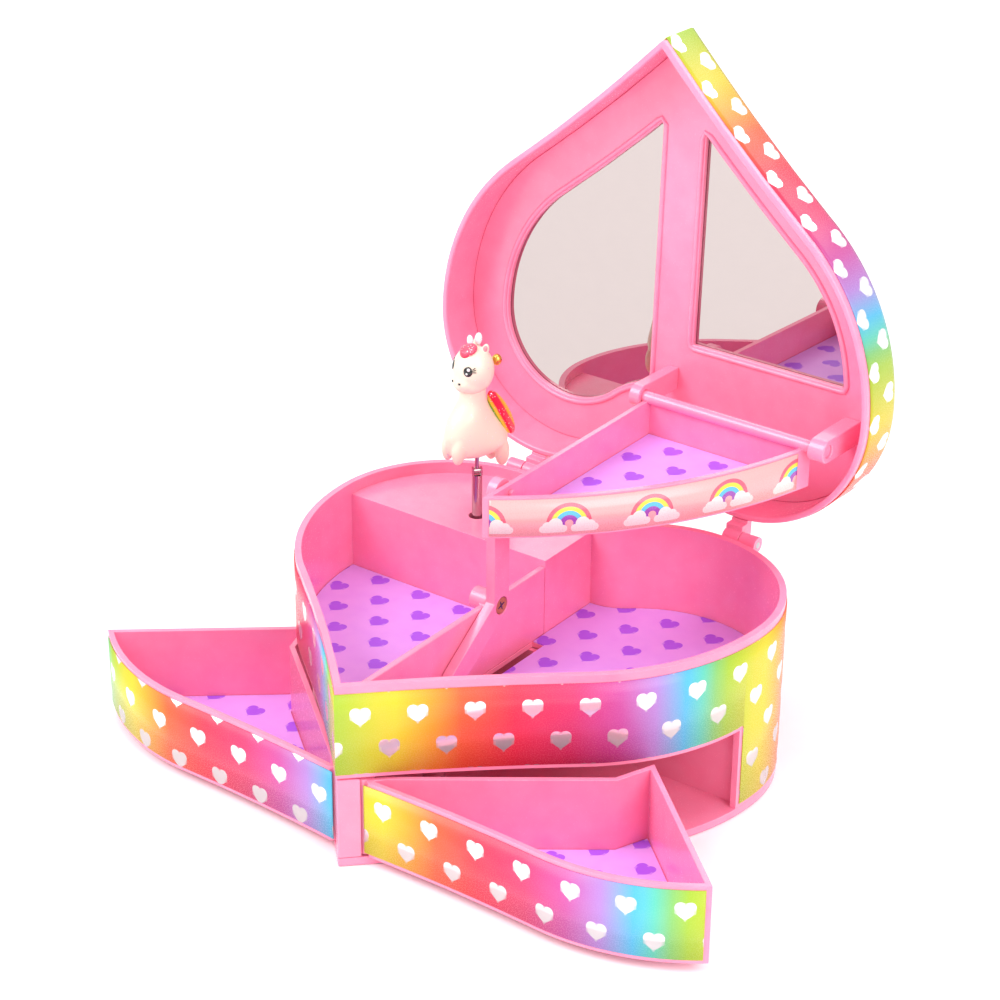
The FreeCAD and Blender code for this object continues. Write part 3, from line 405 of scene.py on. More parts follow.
@dataclass(frozen=True)
class HeartFilm(HeartPrint):
    """Printed film: a rainbow along the wall with rows of mirror-foil hearts."""

    name: str = "printed_foil"
    period: float = 134.0
    pitch: float = 18.77
    row: float = 12.4
    size: float = 3.05
    shift: Place = (0.9, -1.6, 0.0)
    tone: float = 0.86
    uv = True
    fineness = 220.0
    silver = srgb(243, 241, 242)
    hues = run((0.0, 176, 210, 58), (0.15, 240, 214, 46), (0.24, 250, 165, 48), (0.31, 255, 104, 60),
               (0.44, 254, 60, 88), (0.58, 234, 64, 118), (0.70, 214, 88, 170), (0.79, 190, 140, 220),
               (0.87, 90, 196, 240), (0.92, 104, 214, 190), (0.96, 142, 208, 116), (1.0, 176, 210, 58))

    def paint(self, graph: Graph, place: Socket) -> dict:
        """Hue follows the distance along the wall; hearts are silver foil."""
        along = graph.add("SeparateXYZ", {0: place}).outputs[0]
        turn = graph.math("FRACT", graph.math("DIVIDE", along, self.period))
        rainbow = graph.ramp(turn, tuple((at, faded(hue, self.tone)) for at, hue in self.hues))
        hearts = self.hearts(graph, place)
        mottle, fine = self.grain(graph, place)
        pale = graph.mix(graph.spread(mottle, 0.0, 0.03), rainbow, (1.0, 1.0, 1.0))
        return {
            "Base Color": graph.mix(hearts, pale, self.silver),
            "Metallic": graph.math("MULTIPLY", hearts, 0.6),
            "Roughness": graph.math("MULTIPLY_ADD", hearts, -0.12, graph.spread(fine, 0.2, 0.34)),
            "Coat Weight": 0.05, "Coat Roughness": 0.08, "Specular IOR Level": 0.25,
            "Normal": self.bump(graph, hearts, 0.25, 0.0002)}


@dataclass(frozen=True)
class CloudFilm(Finish):
    """Printed film on the tray: a row of rainbows that stand on clouds over peach."""

    name: str = "peach_foil"
    pitch: float = 28.8
    middle: float = 99.4
    ring: float = 10.0
    foot: float = -0.6
    cloud: float = 5.35
    half: float = 3.4
    drop: float = -1.8
    end: float = 1.35
    uv = True
    fineness = 220.0
    peach = (255, 172, 172)
    bands = run((0.0, *peach), (0.14, 158, 74, 178), (0.31, 92, 188, 224), (0.47, 255, 218, 74),
                (0.62, 250, 98, 122), (0.77, *peach))

    def paint(self, graph: Graph, place: Socket) -> dict:
        """Rings about each rainbow's middle are its bands, and round puffs on a flat foot its clouds."""
        parts = graph.add("SeparateXYZ", {0: place})
        cell = graph.math("FRACT", graph.math("DIVIDE", parts.outputs[0], self.pitch))
        x = graph.math("MULTIPLY", graph.math("SUBTRACT", cell, 0.5), self.pitch)
        y = graph.math("SUBTRACT", parts.outputs[1], self.middle)
        bands = graph.ramp(graph.math("DIVIDE", graph.reach(x, y), self.ring), self.bands, stepped=True)
        sky = graph.mix(graph.math("GREATER_THAN", y, self.foot), srgb(*self.peach), bands)
        aside = graph.math("SUBTRACT", graph.math("ABSOLUTE", x), self.cloud)
        low = graph.math("COMPARE", y, self.drop, self.end)
        puffs = graph.math("MULTIPLY", low, graph.math("COMPARE", aside, 0.0, self.half))
        for offset, lift, radius in ((-self.half, self.drop, self.end), (self.half, self.drop, self.end),
                                     (-0.7, -0.25, 2.45), (1.9, -0.9, 1.8)):
            far = graph.reach(graph.math("SUBTRACT", aside, offset), graph.math("SUBTRACT", y, lift))
            puffs = graph.math("MAXIMUM", puffs, graph.math("LESS_THAN", far, radius))
        mottle, fine = self.grain(graph, place)
        clouds = graph.mix(mottle, srgb(255, 236, 230), srgb(252, 226, 220))
        return {
            "Base Color": graph.mix(puffs, sky, clouds), "Roughness": graph.spread(fine, 0.2, 0.36),
            "Coat Weight": 0.3, "Coat Roughness": 0.1}


@dataclass(frozen=True)
class HeartCard(HeartPrint):
    """Printed card: purple hearts in staggered rows over lilac, with paper fibre."""

    name: str = "lining_card"
    pitch: float = 18.7
    row: float = 12.2
    size: float = 3.1
    shift: Place = (6.3, -0.2, 0.0)
    fineness = 300.0

    def paint(self, graph: Graph, place: Socket) -> dict:
        """Two tones switched by the heart rows, both broken by fibre."""
        hearts = self.hearts(graph, place)
        mottle, fine = self.grain(graph, place)
        lilac = graph.mix(mottle, srgb(226, 172, 250), srgb(214, 152, 246))
        purple = graph.mix(mottle, srgb(172, 100, 242), srgb(156, 80, 234))
        return {
            "Base Color": graph.mix(hearts, lilac, purple), "Roughness": graph.spread(fine, 0.42, 0.6),
            "Normal": self.bump(graph, fine, 0.1, 0.0002)}


@dataclass(frozen=True)
class Resin(Finish):
    """Painted resin: a run of colours along a direction, broken by noise and strewn with sparkles."""

    name: str
    stops: Stops
    low: float
    high: float
    drift: float
    sparkle: float
    roughness: float = 0.34
    axis: Place = (0.0, 0.0, 1.0)
    fineness = 260.0
    noise_scale = 0.16
    spark_scale = 1.9
    spark_color = (1.0, 0.96, 0.92)

    def paint(self, graph: Graph, place: Socket) -> dict:
        """Distance along the axis, swayed by noise, picks the colour; sparkles are bright metal."""
        along = graph.vector("DOT_PRODUCT", place, self.axis).outputs["Value"]
        inputs = {"Vector": place, "Scale": self.noise_scale, "Detail": 3.0}
        noise = graph.add("TexNoise", inputs).outputs[0]
        sway = graph.math("SUBTRACT", noise, 0.5)
        swayed = graph.math("MULTIPLY_ADD", sway, self.drift, graph.share(along, self.low, self.high))
        spark, tint = graph.group(Effects.glitter(), Vector=place, Scale=self.spark_scale,
                                  Amount=self.sparkle)
        bright = graph.mix(0.35, self.spark_color, tint)
        _, fine = self.grain(graph, place)
        return {
            "Base Color": graph.mix(spark, graph.ramp(swayed, self.stops), bright),
            "Metallic": graph.math("MULTIPLY", spark, 0.7),
            "Roughness": graph.spread(fine, self.roughness - 0.1, self.roughness + 0.1),
            "Coat Weight": 0.2,
            "Normal": self.bump(graph, fine, 0.12, 0.0003)}


PINK = Plastic("pink_plastic", srgb(255, 150, 184), srgb(255, 128, 166), 0.24, 0.35, 0.08)
WHITE = Plastic("white_plastic", srgb(240, 236, 236), srgb(224, 220, 222), 0.42, 0.0)
# Black enamel for the eyes, lashes and nostrils. The same black on the arm screw's cross is painted
# shade.
BLACK = Plastic("black_enamel", srgb(22, 16, 18), srgb(10, 8, 10), 0.14, 0.6)
BLUSH = Plastic("blush_enamel", srgb(246, 150, 160), srgb(236, 128, 144), 0.3, 0.2)
FLOOR = Plastic("floor_card", srgb(255, 255, 255), srgb(252, 252, 253), 0.7, 0.0)
STEEL = Metal("zinc_steel", srgb(206, 206, 210), 0.32)
CHROME = Metal("chrome_tube", srgb(196, 184, 184), 0.1)
BRASS = Metal("brass", srgb(222, 180, 104), 0.3)
GOLD = Metal("gold_bead", srgb(240, 196, 96), 0.22)
MIRROR = Mirror("mirror_sheet", srgb(188, 176, 174))
PEARL = Resin("pearl_trim", run((0.0, 255, 226, 236), (0.5, 255, 240, 244), (1.0, 255, 250, 250)),
              130.0, 137.0, 0.5, 0.2, 0.24)
# Cream resin: the run along Z turns pinker and darker towards the bottom of the figure. This is painted
# shade about the legs and feet.
CREAM = Resin("cream_resin", run((0.0, 246, 214, 194), (0.3, 247, 226, 202), (1.0, 245, 226, 206)),
              82.0, 132.0, 0.2, 0.06)
HAIR = Resin("rainbow_glitter", run((0.0, 92, 196, 120), (0.2, 250, 206, 72), (0.4, 226, 40, 64),
                                    (0.62, 232, 70, 120), (0.8, 150, 84, 200), (1.0, 60, 176, 190)),
             98.0, 131.0, 0.7, 0.3)
FORELOCK = Resin("red_glitter", run((0.0, 236, 48, 84), (0.6, 248, 96, 124), (1.0, 255, 160, 176)),
                 129.0, 136.0, 0.4, 0.25)
TAIL = Resin("striped_glitter", run((0.0, 246, 190, 40), (0.14, 246, 170, 40), (0.2, 244, 26, 72),
                                    (0.6, 236, 24, 60), (0.68, 248, 206, 44), (0.78, 236, 204, 44),
                                    (0.84, 120, 178, 40), (1.0, 96, 160, 40)),
             -74.9, -68.9, 0.1, 0.22, 0.3, (-0.5064, -0.7221, -0.4707))
FILM = HeartFilm()
RIGHT_FILM = HeartFilm("right_drawer_foil", shift=(-1.4, -5.0, 0.0))
# The lid's copy of the print is faded further (tone 0.74 against 0.86) as painted shade, to offset the
# strong light on the lid.
LID_FILM = HeartFilm("lid_foil", row=8.66, shift=(5.8, -1.9, 0.0), tone=0.74)
CLOUDS = CloudFilm()
CARD = HeartCard()
FINISH_OF = {made.name: made for made in (PINK, WHITE, CARD, MIRROR, STEEL, CHROME, BRASS, CREAM, HAIR)}


@dataclass(frozen=True)
class Pose:
    """A turn about a line, as drawn parts are carried to where they rest."""

    center: Place = (0.0, 0.0, 0.0)
    axis: Place = (0.0, 0.0, 1.0)
    degrees: float = 0.0

    def move(self, points: Array) -> Array:
        """Rows of X, Y and Z turned about the line through the centre."""
        turn = np.array(Matrix.Rotation(math.radians(self.degrees), 3, self.axis))
        return (points - self.center) @ turn.T + self.center


LID_OPEN = Pose((0.0, 88.1, 66.4), (1.0, 0.0, 0.0), -92.0)


@dataclass(frozen=True)
class HeartOutline:
    """The heart in plan: hollow arcs at the tip, flank arcs, lobe arcs and one notch arc."""

    width: float = 180.0
    depth: float = 164.6
    lobe: float = 47.4
    flank: float = 80.0
    flank_turn: float = 51.0
    notch: float = 15.8

    def half(self, inset: float, share: int) -> Array:
        """Points of the right half from the tip to the notch, as the four arcs in turn.

        Args:
            inset: depth drawn in from the outside.
            share: points per arc.

        Returns:
            Rows of X and Y.
        """
        lobe_at = np.array([self.width / 2 - self.lobe, self.depth / 2 - self.lobe])
        flank_at = np.array([self.width / 2 - self.flank, lobe_at[1]])
        end_turn = -math.radians(self.flank_turn)
        out = np.array([math.cos(end_turn), math.sin(end_turn)])
        end = flank_at + self.flank * out
        drop = -self.depth / 2 - end[1]
        hollow = (end[0] ** 2 + drop**2) / (2 * (-end[0] * out[0] + drop * out[1]))
        hollow_at = end + hollow * out
        bottom = self.depth / 2 - self.notch
        rise = bottom - lobe_at[1]
        notch = (lobe_at[0] ** 2 + rise**2 - self.lobe**2) / (2 * (self.lobe - rise))
        notch_at = np.array([0.0, bottom + notch])
        big = hollow + inset
        tip = hollow_at[1] + math.sqrt(big**2 - hollow_at[0] ** 2)
        arcs = ((hollow_at, big, math.atan2(tip - hollow_at[1], -hollow_at[0]), math.pi + end_turn),
                (flank_at, self.flank - inset, end_turn, 0.0),
                (lobe_at, self.lobe - inset, 0.0, math.atan2(notch_at[1] - lobe_at[1], -lobe_at[0])),
                (notch_at, notch + inset, math.atan2(lobe_at[1] - notch_at[1], lobe_at[0]), -math.pi / 2))
        rows = []
        for at, radius, start, stop in arcs:
            turn = np.linspace(start, stop, share)[:-1]
            rows.append(at + radius * np.stack([np.cos(turn), np.sin(turn)], 1))
        return np.concatenate([*rows, [[0.0, notch_at[1] - notch - inset]]])

    def ring(self, inset: float, share: int = 120) -> Array:
        """The closed outline, anticlockwise from the tip, with the tip at both ends."""
        right = self.half(inset, share)
        left = right[::-1][1:] * (-1.0, 1.0)
        return np.concatenate([right, left])


HEART = HeartOutline()


def lengths(path: Array) -> Array:
    """Distance along a path up to each of its points."""
    steps = np.linalg.norm(np.diff(path, axis=0), axis=1)
    return np.concatenate([[0.0], np.cumsum(steps)])


def grid_faces(rows: int, columns: int, wrap: bool) -> Array:
    """Quads of a grid of points.

    Args:
        rows: points along the first parameter.
        columns: points along the second parameter.
        wrap: whether the second parameter closes on itself.

    Returns:
        Rows of four point numbers.
    """
    across = columns if wrap else columns - 1
    i, j = np.meshgrid(np.arange(rows - 1), np.arange(across), indexing="ij")
    k = (j + 1) % columns
    low, high = i * columns, (i + 1) * columns
    return np.stack([low + j, high + j, high + k, low + k], -1).reshape(-1, 4)


class Piece:
    """A new piece of the object: a mesh with its finish and body."""

    def __init__(self, mesh: bpy.types.Mesh, gap: float, sharp: float, flat: float = 0.0) -> None:
        """Takes a mesh, closes its seams and puts it in the scene, shaded smooth.

        Args:
            mesh: the mesh.
            gap: distance under which points become one, in metres.
            sharp: angle between faces that stays sharp, in degrees.
            flat: angle under which faces become one, in degrees.
        """
        work = bmesh.new()
        work.from_mesh(mesh)
        bmesh.ops.remove_doubles(work, verts=work.verts, dist=gap)
        if flat:
            limit = math.radians(flat)
            bmesh.ops.dissolve_limit(work, angle_limit=limit, verts=work.verts, edges=work.edges)
        work.to_mesh(mesh)
        work.free()
        self.object = add_object(mesh.name, mesh)
        mesh.shade_smooth()
        mesh.set_sharp_from_angle(angle=math.radians(sharp))

    @classmethod
    def drawn(cls, name: str, points: Array, faces: Array,
              uvs: Array | None = None) -> "Piece":
        """A piece on a new mesh.

        Args:
            name: the piece's name.
            points: rows of X, Y and Z in millimetres.
            faces: rows of point numbers.
            uvs: rows of U and V per face corner, in millimetres.

        Returns:
            The piece.
        """
        mesh = bpy.data.meshes.new(name)
        mesh.from_pydata((points * MM).tolist(), [], faces.tolist())
        if uvs is not None:
            layer = mesh.uv_layers.new(name="plan")
            layer.data.foreach_set("uv", (uvs * UV_UNIT).astype(np.float32).ravel())
        return cls(mesh, gap=2e-6, sharp=40.0)

    def modifier(self, kind: str, **settings: object) -> "Piece":
        """Adds a modifier with its settings."""
        configure(self.object.modifiers.new(kind.lower(), kind), settings)
        return self

    def dress(self, finish: Finish, body: str, slot: str | None = None,
              replaces: tuple[str, ...] = ()) -> None:
        """Gives the piece its finish and its body.

        Args:
            finish: the finish.
            body: the body it moves with.
            slot: the record's material slot; not used.
            replaces: nodes that it stands for.
        """
        self.object.data.materials.clear()
        self.object.data.materials.append(finish.material())
        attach(self.object, body)
        if replaces:
            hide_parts(*replaces)
        LOG.info("piece %s on %s", self.object.name, body)


def wall_strip(name: str, plan: Array, along: Array, levels: Row,
               keep: Array | None = None, pose: Pose = Pose(), thick: float = 0.28) -> Piece:
    """A thin film on a wall: each point of the plan path carried straight up through the levels.

    Args:
        name: the piece's name.
        plan: rows of X and Y along the wall, anticlockwise, or such rows for each level.
        along: distance of each row, for the print.
        levels: heights of the film's rows.
        keep: which cells of the path by level grid exist, if not all.
        pose: where the film rests.
        thick: thickness of the film.

    Returns:
        The piece.
    """
    heights = np.array(levels)
    count, rows = len(plan), len(heights)
    spread = plan if plan.ndim == 3 else np.repeat(plan[:, None], rows, 1)
    points = np.concatenate([spread.reshape(-1, 2), np.tile(heights, count)[:, None]], 1)
    faces = grid_faces(count, rows, False)
    if keep is not None:
        faces = faces[keep.ravel()]
    flat = np.stack([np.repeat(along, rows), np.tile(heights, count)], 1)
    used, compact = np.unique(faces, return_inverse=True)
    faces, uvs = compact.reshape(faces.shape), flat[faces].reshape(-1, 2)
    piece = Piece.drawn(name, pose.move(points)[used], faces, uvs)
    return piece.modifier("SOLIDIFY", thickness=thick * MM, offset=-1.0)


@dataclass
class Films:
    """Printed bands round the base, lid, drawers and tray."""

    lift: float = 0.3
    mouth_rear: float = 24.7
    base_levels: Row = (4.5, 35.8, 58.4, 66.35)
    lid_levels: Row = (72.5, 74.4, 87.7, 89.4)
    lid_edge: float = 0.338
    lug_y: float = 54.9
    lug_start: float = 39.0
    base_lug_end: float = 55.5
    lid_lug_end: float = 48.6
    drawer_levels: Row = (5.1, 31.5)
    drawer_front: float = -74.0
    drawer_rear: float = 21.0
    drawer_inner: float = 5.5
    pin_x: float = 4.2
    pin_y: float = -72.5
    right_turn: float = -42.0
    left_turn: float = 39.0
    left_phase: float = 0.88
    tray_levels: Row = (95.25, 108.75)
    tray_tip: tuple[float, float] = (5.0, -9.5)
    tray_corner: tuple[float, float] = (71.7, 89.5)
    tray_bow: float = 11.0
    tray_left: float = 6.5
    tray_rear: float = 84.2
    tray_phase: float = 16.4

    def clear(self, middle: Array, lug_end: float) -> Array:
        """Which places of a path lie clear of the hinge lugs."""
        across = np.abs(middle[:, 0])
        return (across <= self.lug_start) | (across >= lug_end) | (middle[:, 1] <= self.lug_y)

    def base(self) -> None:
        """Band round the base, open over the drawers and at the hinge lugs."""
        plan = HEART.ring(-self.lift)
        middle = (plan[1:] + plan[:-1]) / 2
        rear = middle[:, 1] > self.mouth_rear
        keep = np.stack([rear, np.ones_like(rear), self.clear(middle, self.base_lug_end)], 1)
        strip = wall_strip("base_print", plan, lengths(plan), self.base_levels, keep)
        strip.dress(FILM, "base", "printed_foil", ("base_foil",))

    def lid(self) -> None:
        """Band round the lid's side and on to its rounded edge, open at the hinge lugs."""
        plan = HEART.ring(-self.lift)
        edge = HEART.ring(self.lid_edge - self.lift)
        clear = self.clear((plan[1:] + plan[:-1]) / 2, self.lid_lug_end)
        keep = np.stack([clear, np.ones_like(clear), np.ones_like(clear)], 1)
        plans = np.stack([plan, plan, plan, edge], 1)
        strip = wall_strip("lid_print", plans, lengths(plan), self.lid_levels, keep, LID_OPEN)
        strip.dress(LID_FILM, "lid", "printed_foil", ("lid_foil",))

    def drawer(self, side: Side, finish: HeartFilm, open_turn: float) -> None:
        """Band on a drawer's curved front.

        Args:
            side: which drawer.
            finish: its print.
            open_turn: turn about its pin from closed to rest, in degrees.
        """
        ring = HEART.ring(-self.lift)
        x, y = ring[:, 0] * side.value, ring[:, 1]
        within = (y > self.drawer_front) & (y < self.drawer_rear) & (x > self.drawer_inner)
        along = lengths(ring)[within]
        if side is Side.LEFT:
            along = along - along[-1] + self.left_phase * finish.period
        word = side.name.lower()
        pose = Pose((side.value * self.pin_x, self.pin_y, 0.0), degrees=open_turn)
        strip = wall_strip(f"{word}_drawer_print", ring[within], along, self.drawer_levels, pose=pose)
        strip.dress(finish, f"{word}_drawer", "printed_foil", (f"{word}_drawer_foil",))

    def tray(self) -> None:
        """Band on the tray's bowed front: a circle through its tip, its bowed middle and its corner."""
        tip, corner, bow = np.array(self.tray_tip), np.array(self.tray_corner), self.tray_bow
        chord = corner - tip
        half = np.linalg.norm(chord) / 2
        out = np.array([chord[1], -chord[0]]) / (2 * half)
        radius = (half**2 + bow**2) / (2 * bow)
        center = tip + chord / 2 + out * (bow - radius)
        start = math.atan2(*(tip - center)[::-1])
        stop = math.atan2(*(corner - center)[::-1])
        turn = np.linspace(start, stop, 160)
        arc = center + (radius + self.lift) * np.stack([np.cos(turn), np.sin(turn)], 1)
        arc = arc[(arc[:, 0] > self.tray_left) & (arc[:, 1] < self.tray_rear)]
        strip = wall_strip("tray_print", arc, lengths(arc) + self.tray_phase, self.tray_levels)
        strip.dress(CLOUDS, "tray", "peach_foil", ("tray_foil",))

    def build(self) -> None:
        """Makes every band."""
        self.base()
        self.lid()
        self.drawer(Side.RIGHT, RIGHT_FILM, self.right_turn)
        self.drawer(Side.LEFT, FILM, self.left_turn)
        self.tray()


@dataclass
class Mouldings:
    """The plastic mouldings: the frame's own solids with their edges rounded."""

    rounds: tuple[tuple[str, float], ...] = (
        ("base_shell", 0.9), ("lid_shell", 0.8), ("tray", 0.7), ("right_drawer", 0.7),
        ("left_drawer", 0.7), ("mechanism_housing", 0.8), ("partition", 0.7), ("lift_arm", 0.7),
        ("tip_column", 0.5), ("mirror_panel", 0.5), ("tray_brackets", 0.6), ("base_hinge_lugs", 0.4),
        ("lid_hinge_lugs", 0.4), ("base_plate", 0.6), ("mid_floor", 0.4), ("winding_key", 0.6))
    sharp: float = 50.0

    def build(self) -> None:
        """Copies each node, merges its loose triangles and rounds its edges."""
        for label, radius in self.rounds:
            mesh = frame["nodes"][label].data.copy()
            mesh.name = label + "_soft"
            piece = Piece(mesh, gap=1e-6, sharp=35.0, flat=1.0)
            piece.modifier("BEVEL", width=radius * MM, segments=3, limit_method="ANGLE",
                           angle_limit=math.radians(self.sharp), use_clamp_overlap=True,
                           harden_normals=True)
            slot = SLOT_OF[label]
            piece.dress(FINISH_OF[slot], BODY_OF[label], slot, (label,))


def swept(path: Array, radii: Array, columns: int = 20) -> Shape:
    """A round section carried along a path in the figure's middle plane, closed at both ends.

    Args:
        path: rows of X, Y and Z.
        radii: radius at each row.
        columns: points round the section.

    Returns:
        Points and faces.
    """
    ahead = np.gradient(path, axis=0)
    ahead /= np.linalg.norm(ahead, axis=1, keepdims=True)
    side = np.cross(ahead, (0.0, 1.0, 0.0))
    side /= np.linalg.norm(side, axis=1, keepdims=True)
    other = np.cross(ahead, side)
    turn = np.linspace(0, 2 * math.pi, columns, endpoint=False)
    ring = np.cos(turn)[None, :, None] * side[:, None] + np.sin(turn)[None, :, None] * other[:, None]
    points = path[:, None] + ring * radii[:, None, None]
    return points.reshape(-1, 3), grid_faces(len(path), columns, True)


@dataclass(frozen=True)
class Egg:
    """A sphere of rows from pole to pole, scaled, tilted about Y, rolled about X and turned about Z."""

    center: Place
    radii: Place
    tilt: float = 0.0
    roll: float = 0.0
    yaw: float = 0.0
    rows: int = 18

    def shape(self, side: int = 1) -> Shape:
        """The egg as drawn, or its mirror image across the figure's middle plane.

        Args:
            side: 1 as drawn, -1 mirrored.

        Returns:
            Points and faces.
        """
        down = np.linspace(0, math.pi, self.rows)
        around = np.linspace(0, 2 * math.pi, 2 * self.rows, endpoint=False)
        v, u = np.meshgrid(down, around, indexing="ij")
        ball = np.stack([np.sin(v) * np.cos(u), np.sin(v) * np.sin(u), np.cos(v)], -1).reshape(-1, 3)
        turn = Matrix.Identity(3)
        for degrees, axis in ((side * self.yaw, "Z"), (side * self.roll, "X"), (self.tilt, "Y")):
            turn = turn @ Matrix.Rotation(math.radians(degrees), 3, axis)
        points = (ball * np.array(self.radii)) @ np.array(turn).T
        points += np.array(self.center) * (1.0, side, 1.0)
        return points, grid_faces(self.rows, 2 * self.rows, True)


def both(*eggs: Egg) -> list[Shape]:
    """Eggs on both sides of the figure."""
    return [egg.shape(side) for side in (-1, 1) for egg in eggs]


def stack(rows: tuple[Row, ...], columns: int = 48, levels: int = 90, ease: int = 9) -> Shape:
    """Ellipses set one above another, eased between the given rows and closed at both ends.

    Args:
        rows: height, middle along X, and half sizes along X and Y of each ellipse.
        columns: points round each ellipse.
        levels: ellipses in all.
        ease: levels over which the sizes are averaged.

    Returns:
        Points and faces.
    """
    table = np.array(rows)
    height = np.linspace(table[0, 0], table[-1, 0], levels)
    sizes = []
    for number in (1, 2, 3):
        even = np.interp(height, table[:, 0], table[:, number])
        sizes.append(np.convolve(np.pad(even, ease // 2, "edge"), np.ones(ease) / ease, "valid"))
    middle, wide, deep = sizes
    shut = np.where((height == height[0]) | (height == height[-1]), 0.002, 1.0)
    u = np.linspace(0, 2 * math.pi, columns, endpoint=False)
    x = middle[:, None] + (wide * shut)[:, None] * np.cos(u)
    y = (deep * shut)[:, None] * np.sin(u)
    points = np.stack([x, y, np.broadcast_to(height[:, None], x.shape)], -1)
    return points.reshape(-1, 3), grid_faces(levels, columns, True)


def gather(shapes: list[Shape]) -> Shape:
    """Several shapes as one set of points and faces."""
    counts = np.cumsum([0] + [len(points) for points, _ in shapes[:-1]])
    faces = np.concatenate([faces + start for (_, faces), start in zip(shapes, counts)])
    return np.concatenate([points for points, _ in shapes]), faces


@dataclass
class Figure:
    """The small animal on four short legs, drawn facing +X and then turned on its post."""

    at: Place = (-40.7, 49.3, 85.4)
    face_turn: float = -105.0
    voxel: float = 0.42
    trunk: tuple[Row, ...] = (
        (4.0, 0.0, 3.0, 2.0), (5.2, 0.0, 9.4, 5.2), (7.0, 0.0, 12.4, 6.7), (9.7, 0.2, 13.3, 7.3),
        (14.0, 1.9, 12.2, 7.1), (17.0, 2.7, 10.9, 6.8), (20.0, 3.1, 9.2, 6.3), (23.0, 2.8, 7.0, 5.6),
        (26.3, 2.3, 5.0, 4.9), (32.0, 2.2, 4.7, 4.7))
    front_leg: Egg = Egg((10.4, 2.9, 10.2), (2.8, 2.5, 6.3), -8)
    rear_leg: Egg = Egg((-8.9, 3.1, 3.8), (2.8, 2.6, 5.5))
    skull: Egg = Egg((1.8, 0, 37.6), (7.4, 7.4, 8.8))
    muzzle: Egg = Egg((5.8, 0, 34.0), (4.2, 4.9, 4.1))
    jaw: Egg = Egg((3.4, 0, 33.4), (5.4, 6.2, 4.4))
    ear: Egg = Egg((-1.3, 2.8, 45.2), (1.3, 1.4, 2.3), -8, -10)
    inner_ear: Egg = Egg((-0.7, 3.4, 45.7), (0.8, 0.8, 1.3), -8, -10)
    nostril: Egg = Egg((9.65, 1.9, 34.6), (0.35, 0.5, 0.42), yaw=20)
    eye: Place = (7.55, 4.15, 39.55)
    eye_yaw: float = 36.0
    eye_pitch: float = 11.0
    glints: tuple[Row, ...] = ((0.2, 0.7, 0.62), (-0.35, -0.75, 0.42))
    glint_out: float = 0.33
    lashes: tuple[Row, ...] = ((1.943, 1.15, 40.0), (2.051, 0.55, 18.0), (2.168, -0.1, 2.0))
    lash_out: float = -0.35
    forelock: tuple[Egg, ...] = (Egg((4.2, 0.2, 45.7), (3.3, 3.4, 1.5), 22),
                                 Egg((6.0, 0.4, 44.6), (1.7, 2.2, 1.2), 36))
    locks: tuple[Row, ...] = ((-2.2, -6.0), (0.0, 0.0), (2.0, 6.0))
    lock_back: float = 1.5
    lock_swell: float = 1.9
    lock_sway: float = 0.7
    lock_top: float = 45.0
    lock_drop: float = 17.0
    lock_radius: float = 1.9
    tail: Egg = Egg((-8.9, 2.3, 18.8), (3.3, 2.4, 11.2), 29.6)
    pearls: tuple[Egg, ...] = (Egg((2.2, -1.4, 48.0), (1.2, 1.2, 2.5), 8),
                               Egg((-1.0, -0.8, 48.2), (1.4, 1.4, 2.4), -6))
    bead: Egg = Egg((-8.1, 0.7, 38.8), (1.8, 1.8, 2.1))

    def place(self, name: str, shapes: list[Shape], finish: Finish, slot: str | None = None,
              replaces: tuple[str, ...] = (), blend: bool = True) -> None:
        """Puts shapes at the figure's place, run together where they should flow.

        Args:
            name: the piece's name.
            shapes: points and faces of each shape.
            finish: the finish.
            slot: the record's material slot.
            replaces: nodes that the piece stands for.
            blend: whether to run the shapes into one skin.
        """
        points, faces = gather(shapes)
        turned = Pose(degrees=self.face_turn).move(points) + np.array(self.at)
        piece = Piece.drawn(name, turned, faces)
        if blend:
            piece.modifier("REMESH", mode="VOXEL", voxel_size=self.voxel * MM, use_smooth_shade=True)
            piece.modifier("SMOOTH", factor=0.5, iterations=8)
        piece.dress(finish, "figure", slot, replaces)

    def skins(self) -> None:
        """Trunk with chest, neck and four stubby legs, and head with muzzle, jaw and ears."""
        trunk = [stack(self.trunk), *both(self.front_leg, self.rear_leg)]
        head = [self.skull.shape(), self.muzzle.shape(), self.jaw.shape(), *both(self.ear)]
        self.place("figure_body_skin", trunk, CREAM, "cream_resin", ("figure_body",))
        self.place("figure_head_skin", head, CREAM, "cream_resin", ("figure_head",))

    def on_face(self, back: float, rise: float, out: float, radii: Place, roll: float = 0.0,
                rows: int = 18) -> Egg:
        """A flat egg on the painted plane of the left eye.

        Args:
            back: place behind the eye's middle.
            rise: place above it.
            out: place out of the face.
            radii: half sizes out of the face, across it and up it.
            roll: turn on the face in degrees.
            rows: points from pole to pole.

        Returns:
            The egg.
        """
        yaw, pitch = math.radians(self.eye_yaw), math.radians(self.eye_pitch)
        level = math.cos(pitch)
        normal = np.array([math.cos(yaw) * level, math.sin(yaw) * level, math.sin(pitch)])
        aside = np.array([-math.sin(yaw), math.cos(yaw), 0.0])
        at = np.array(self.eye) + back * aside + rise * np.cross(normal, aside) + out * normal
        return Egg(tuple(at), radii, -self.eye_pitch, roll, self.eye_yaw, rows)

    def face(self) -> None:
        """Eyes with lashes, nostrils, eye glints and inner ears."""
        eye = self.on_face(0, 0, 0, (0.45, 1.65, 1.8))
        lashes = [self.on_face(back, rise, self.lash_out, (0.4, 0.85, 0.19), slope, 8)
                  for back, rise, slope in self.lashes]
        glints = [self.on_face(back, rise, self.glint_out, (0.2, size, size))
                  for back, rise, size in self.glints]
        dark = both(eye) + both(*lashes, self.nostril)
        self.place("figure_eyes", dark, BLACK, blend=False)
        self.place("figure_eye_glints", both(*glints), WHITE, blend=False)
        self.place("figure_inner_ears", both(self.inner_ear), BLUSH, blend=False)

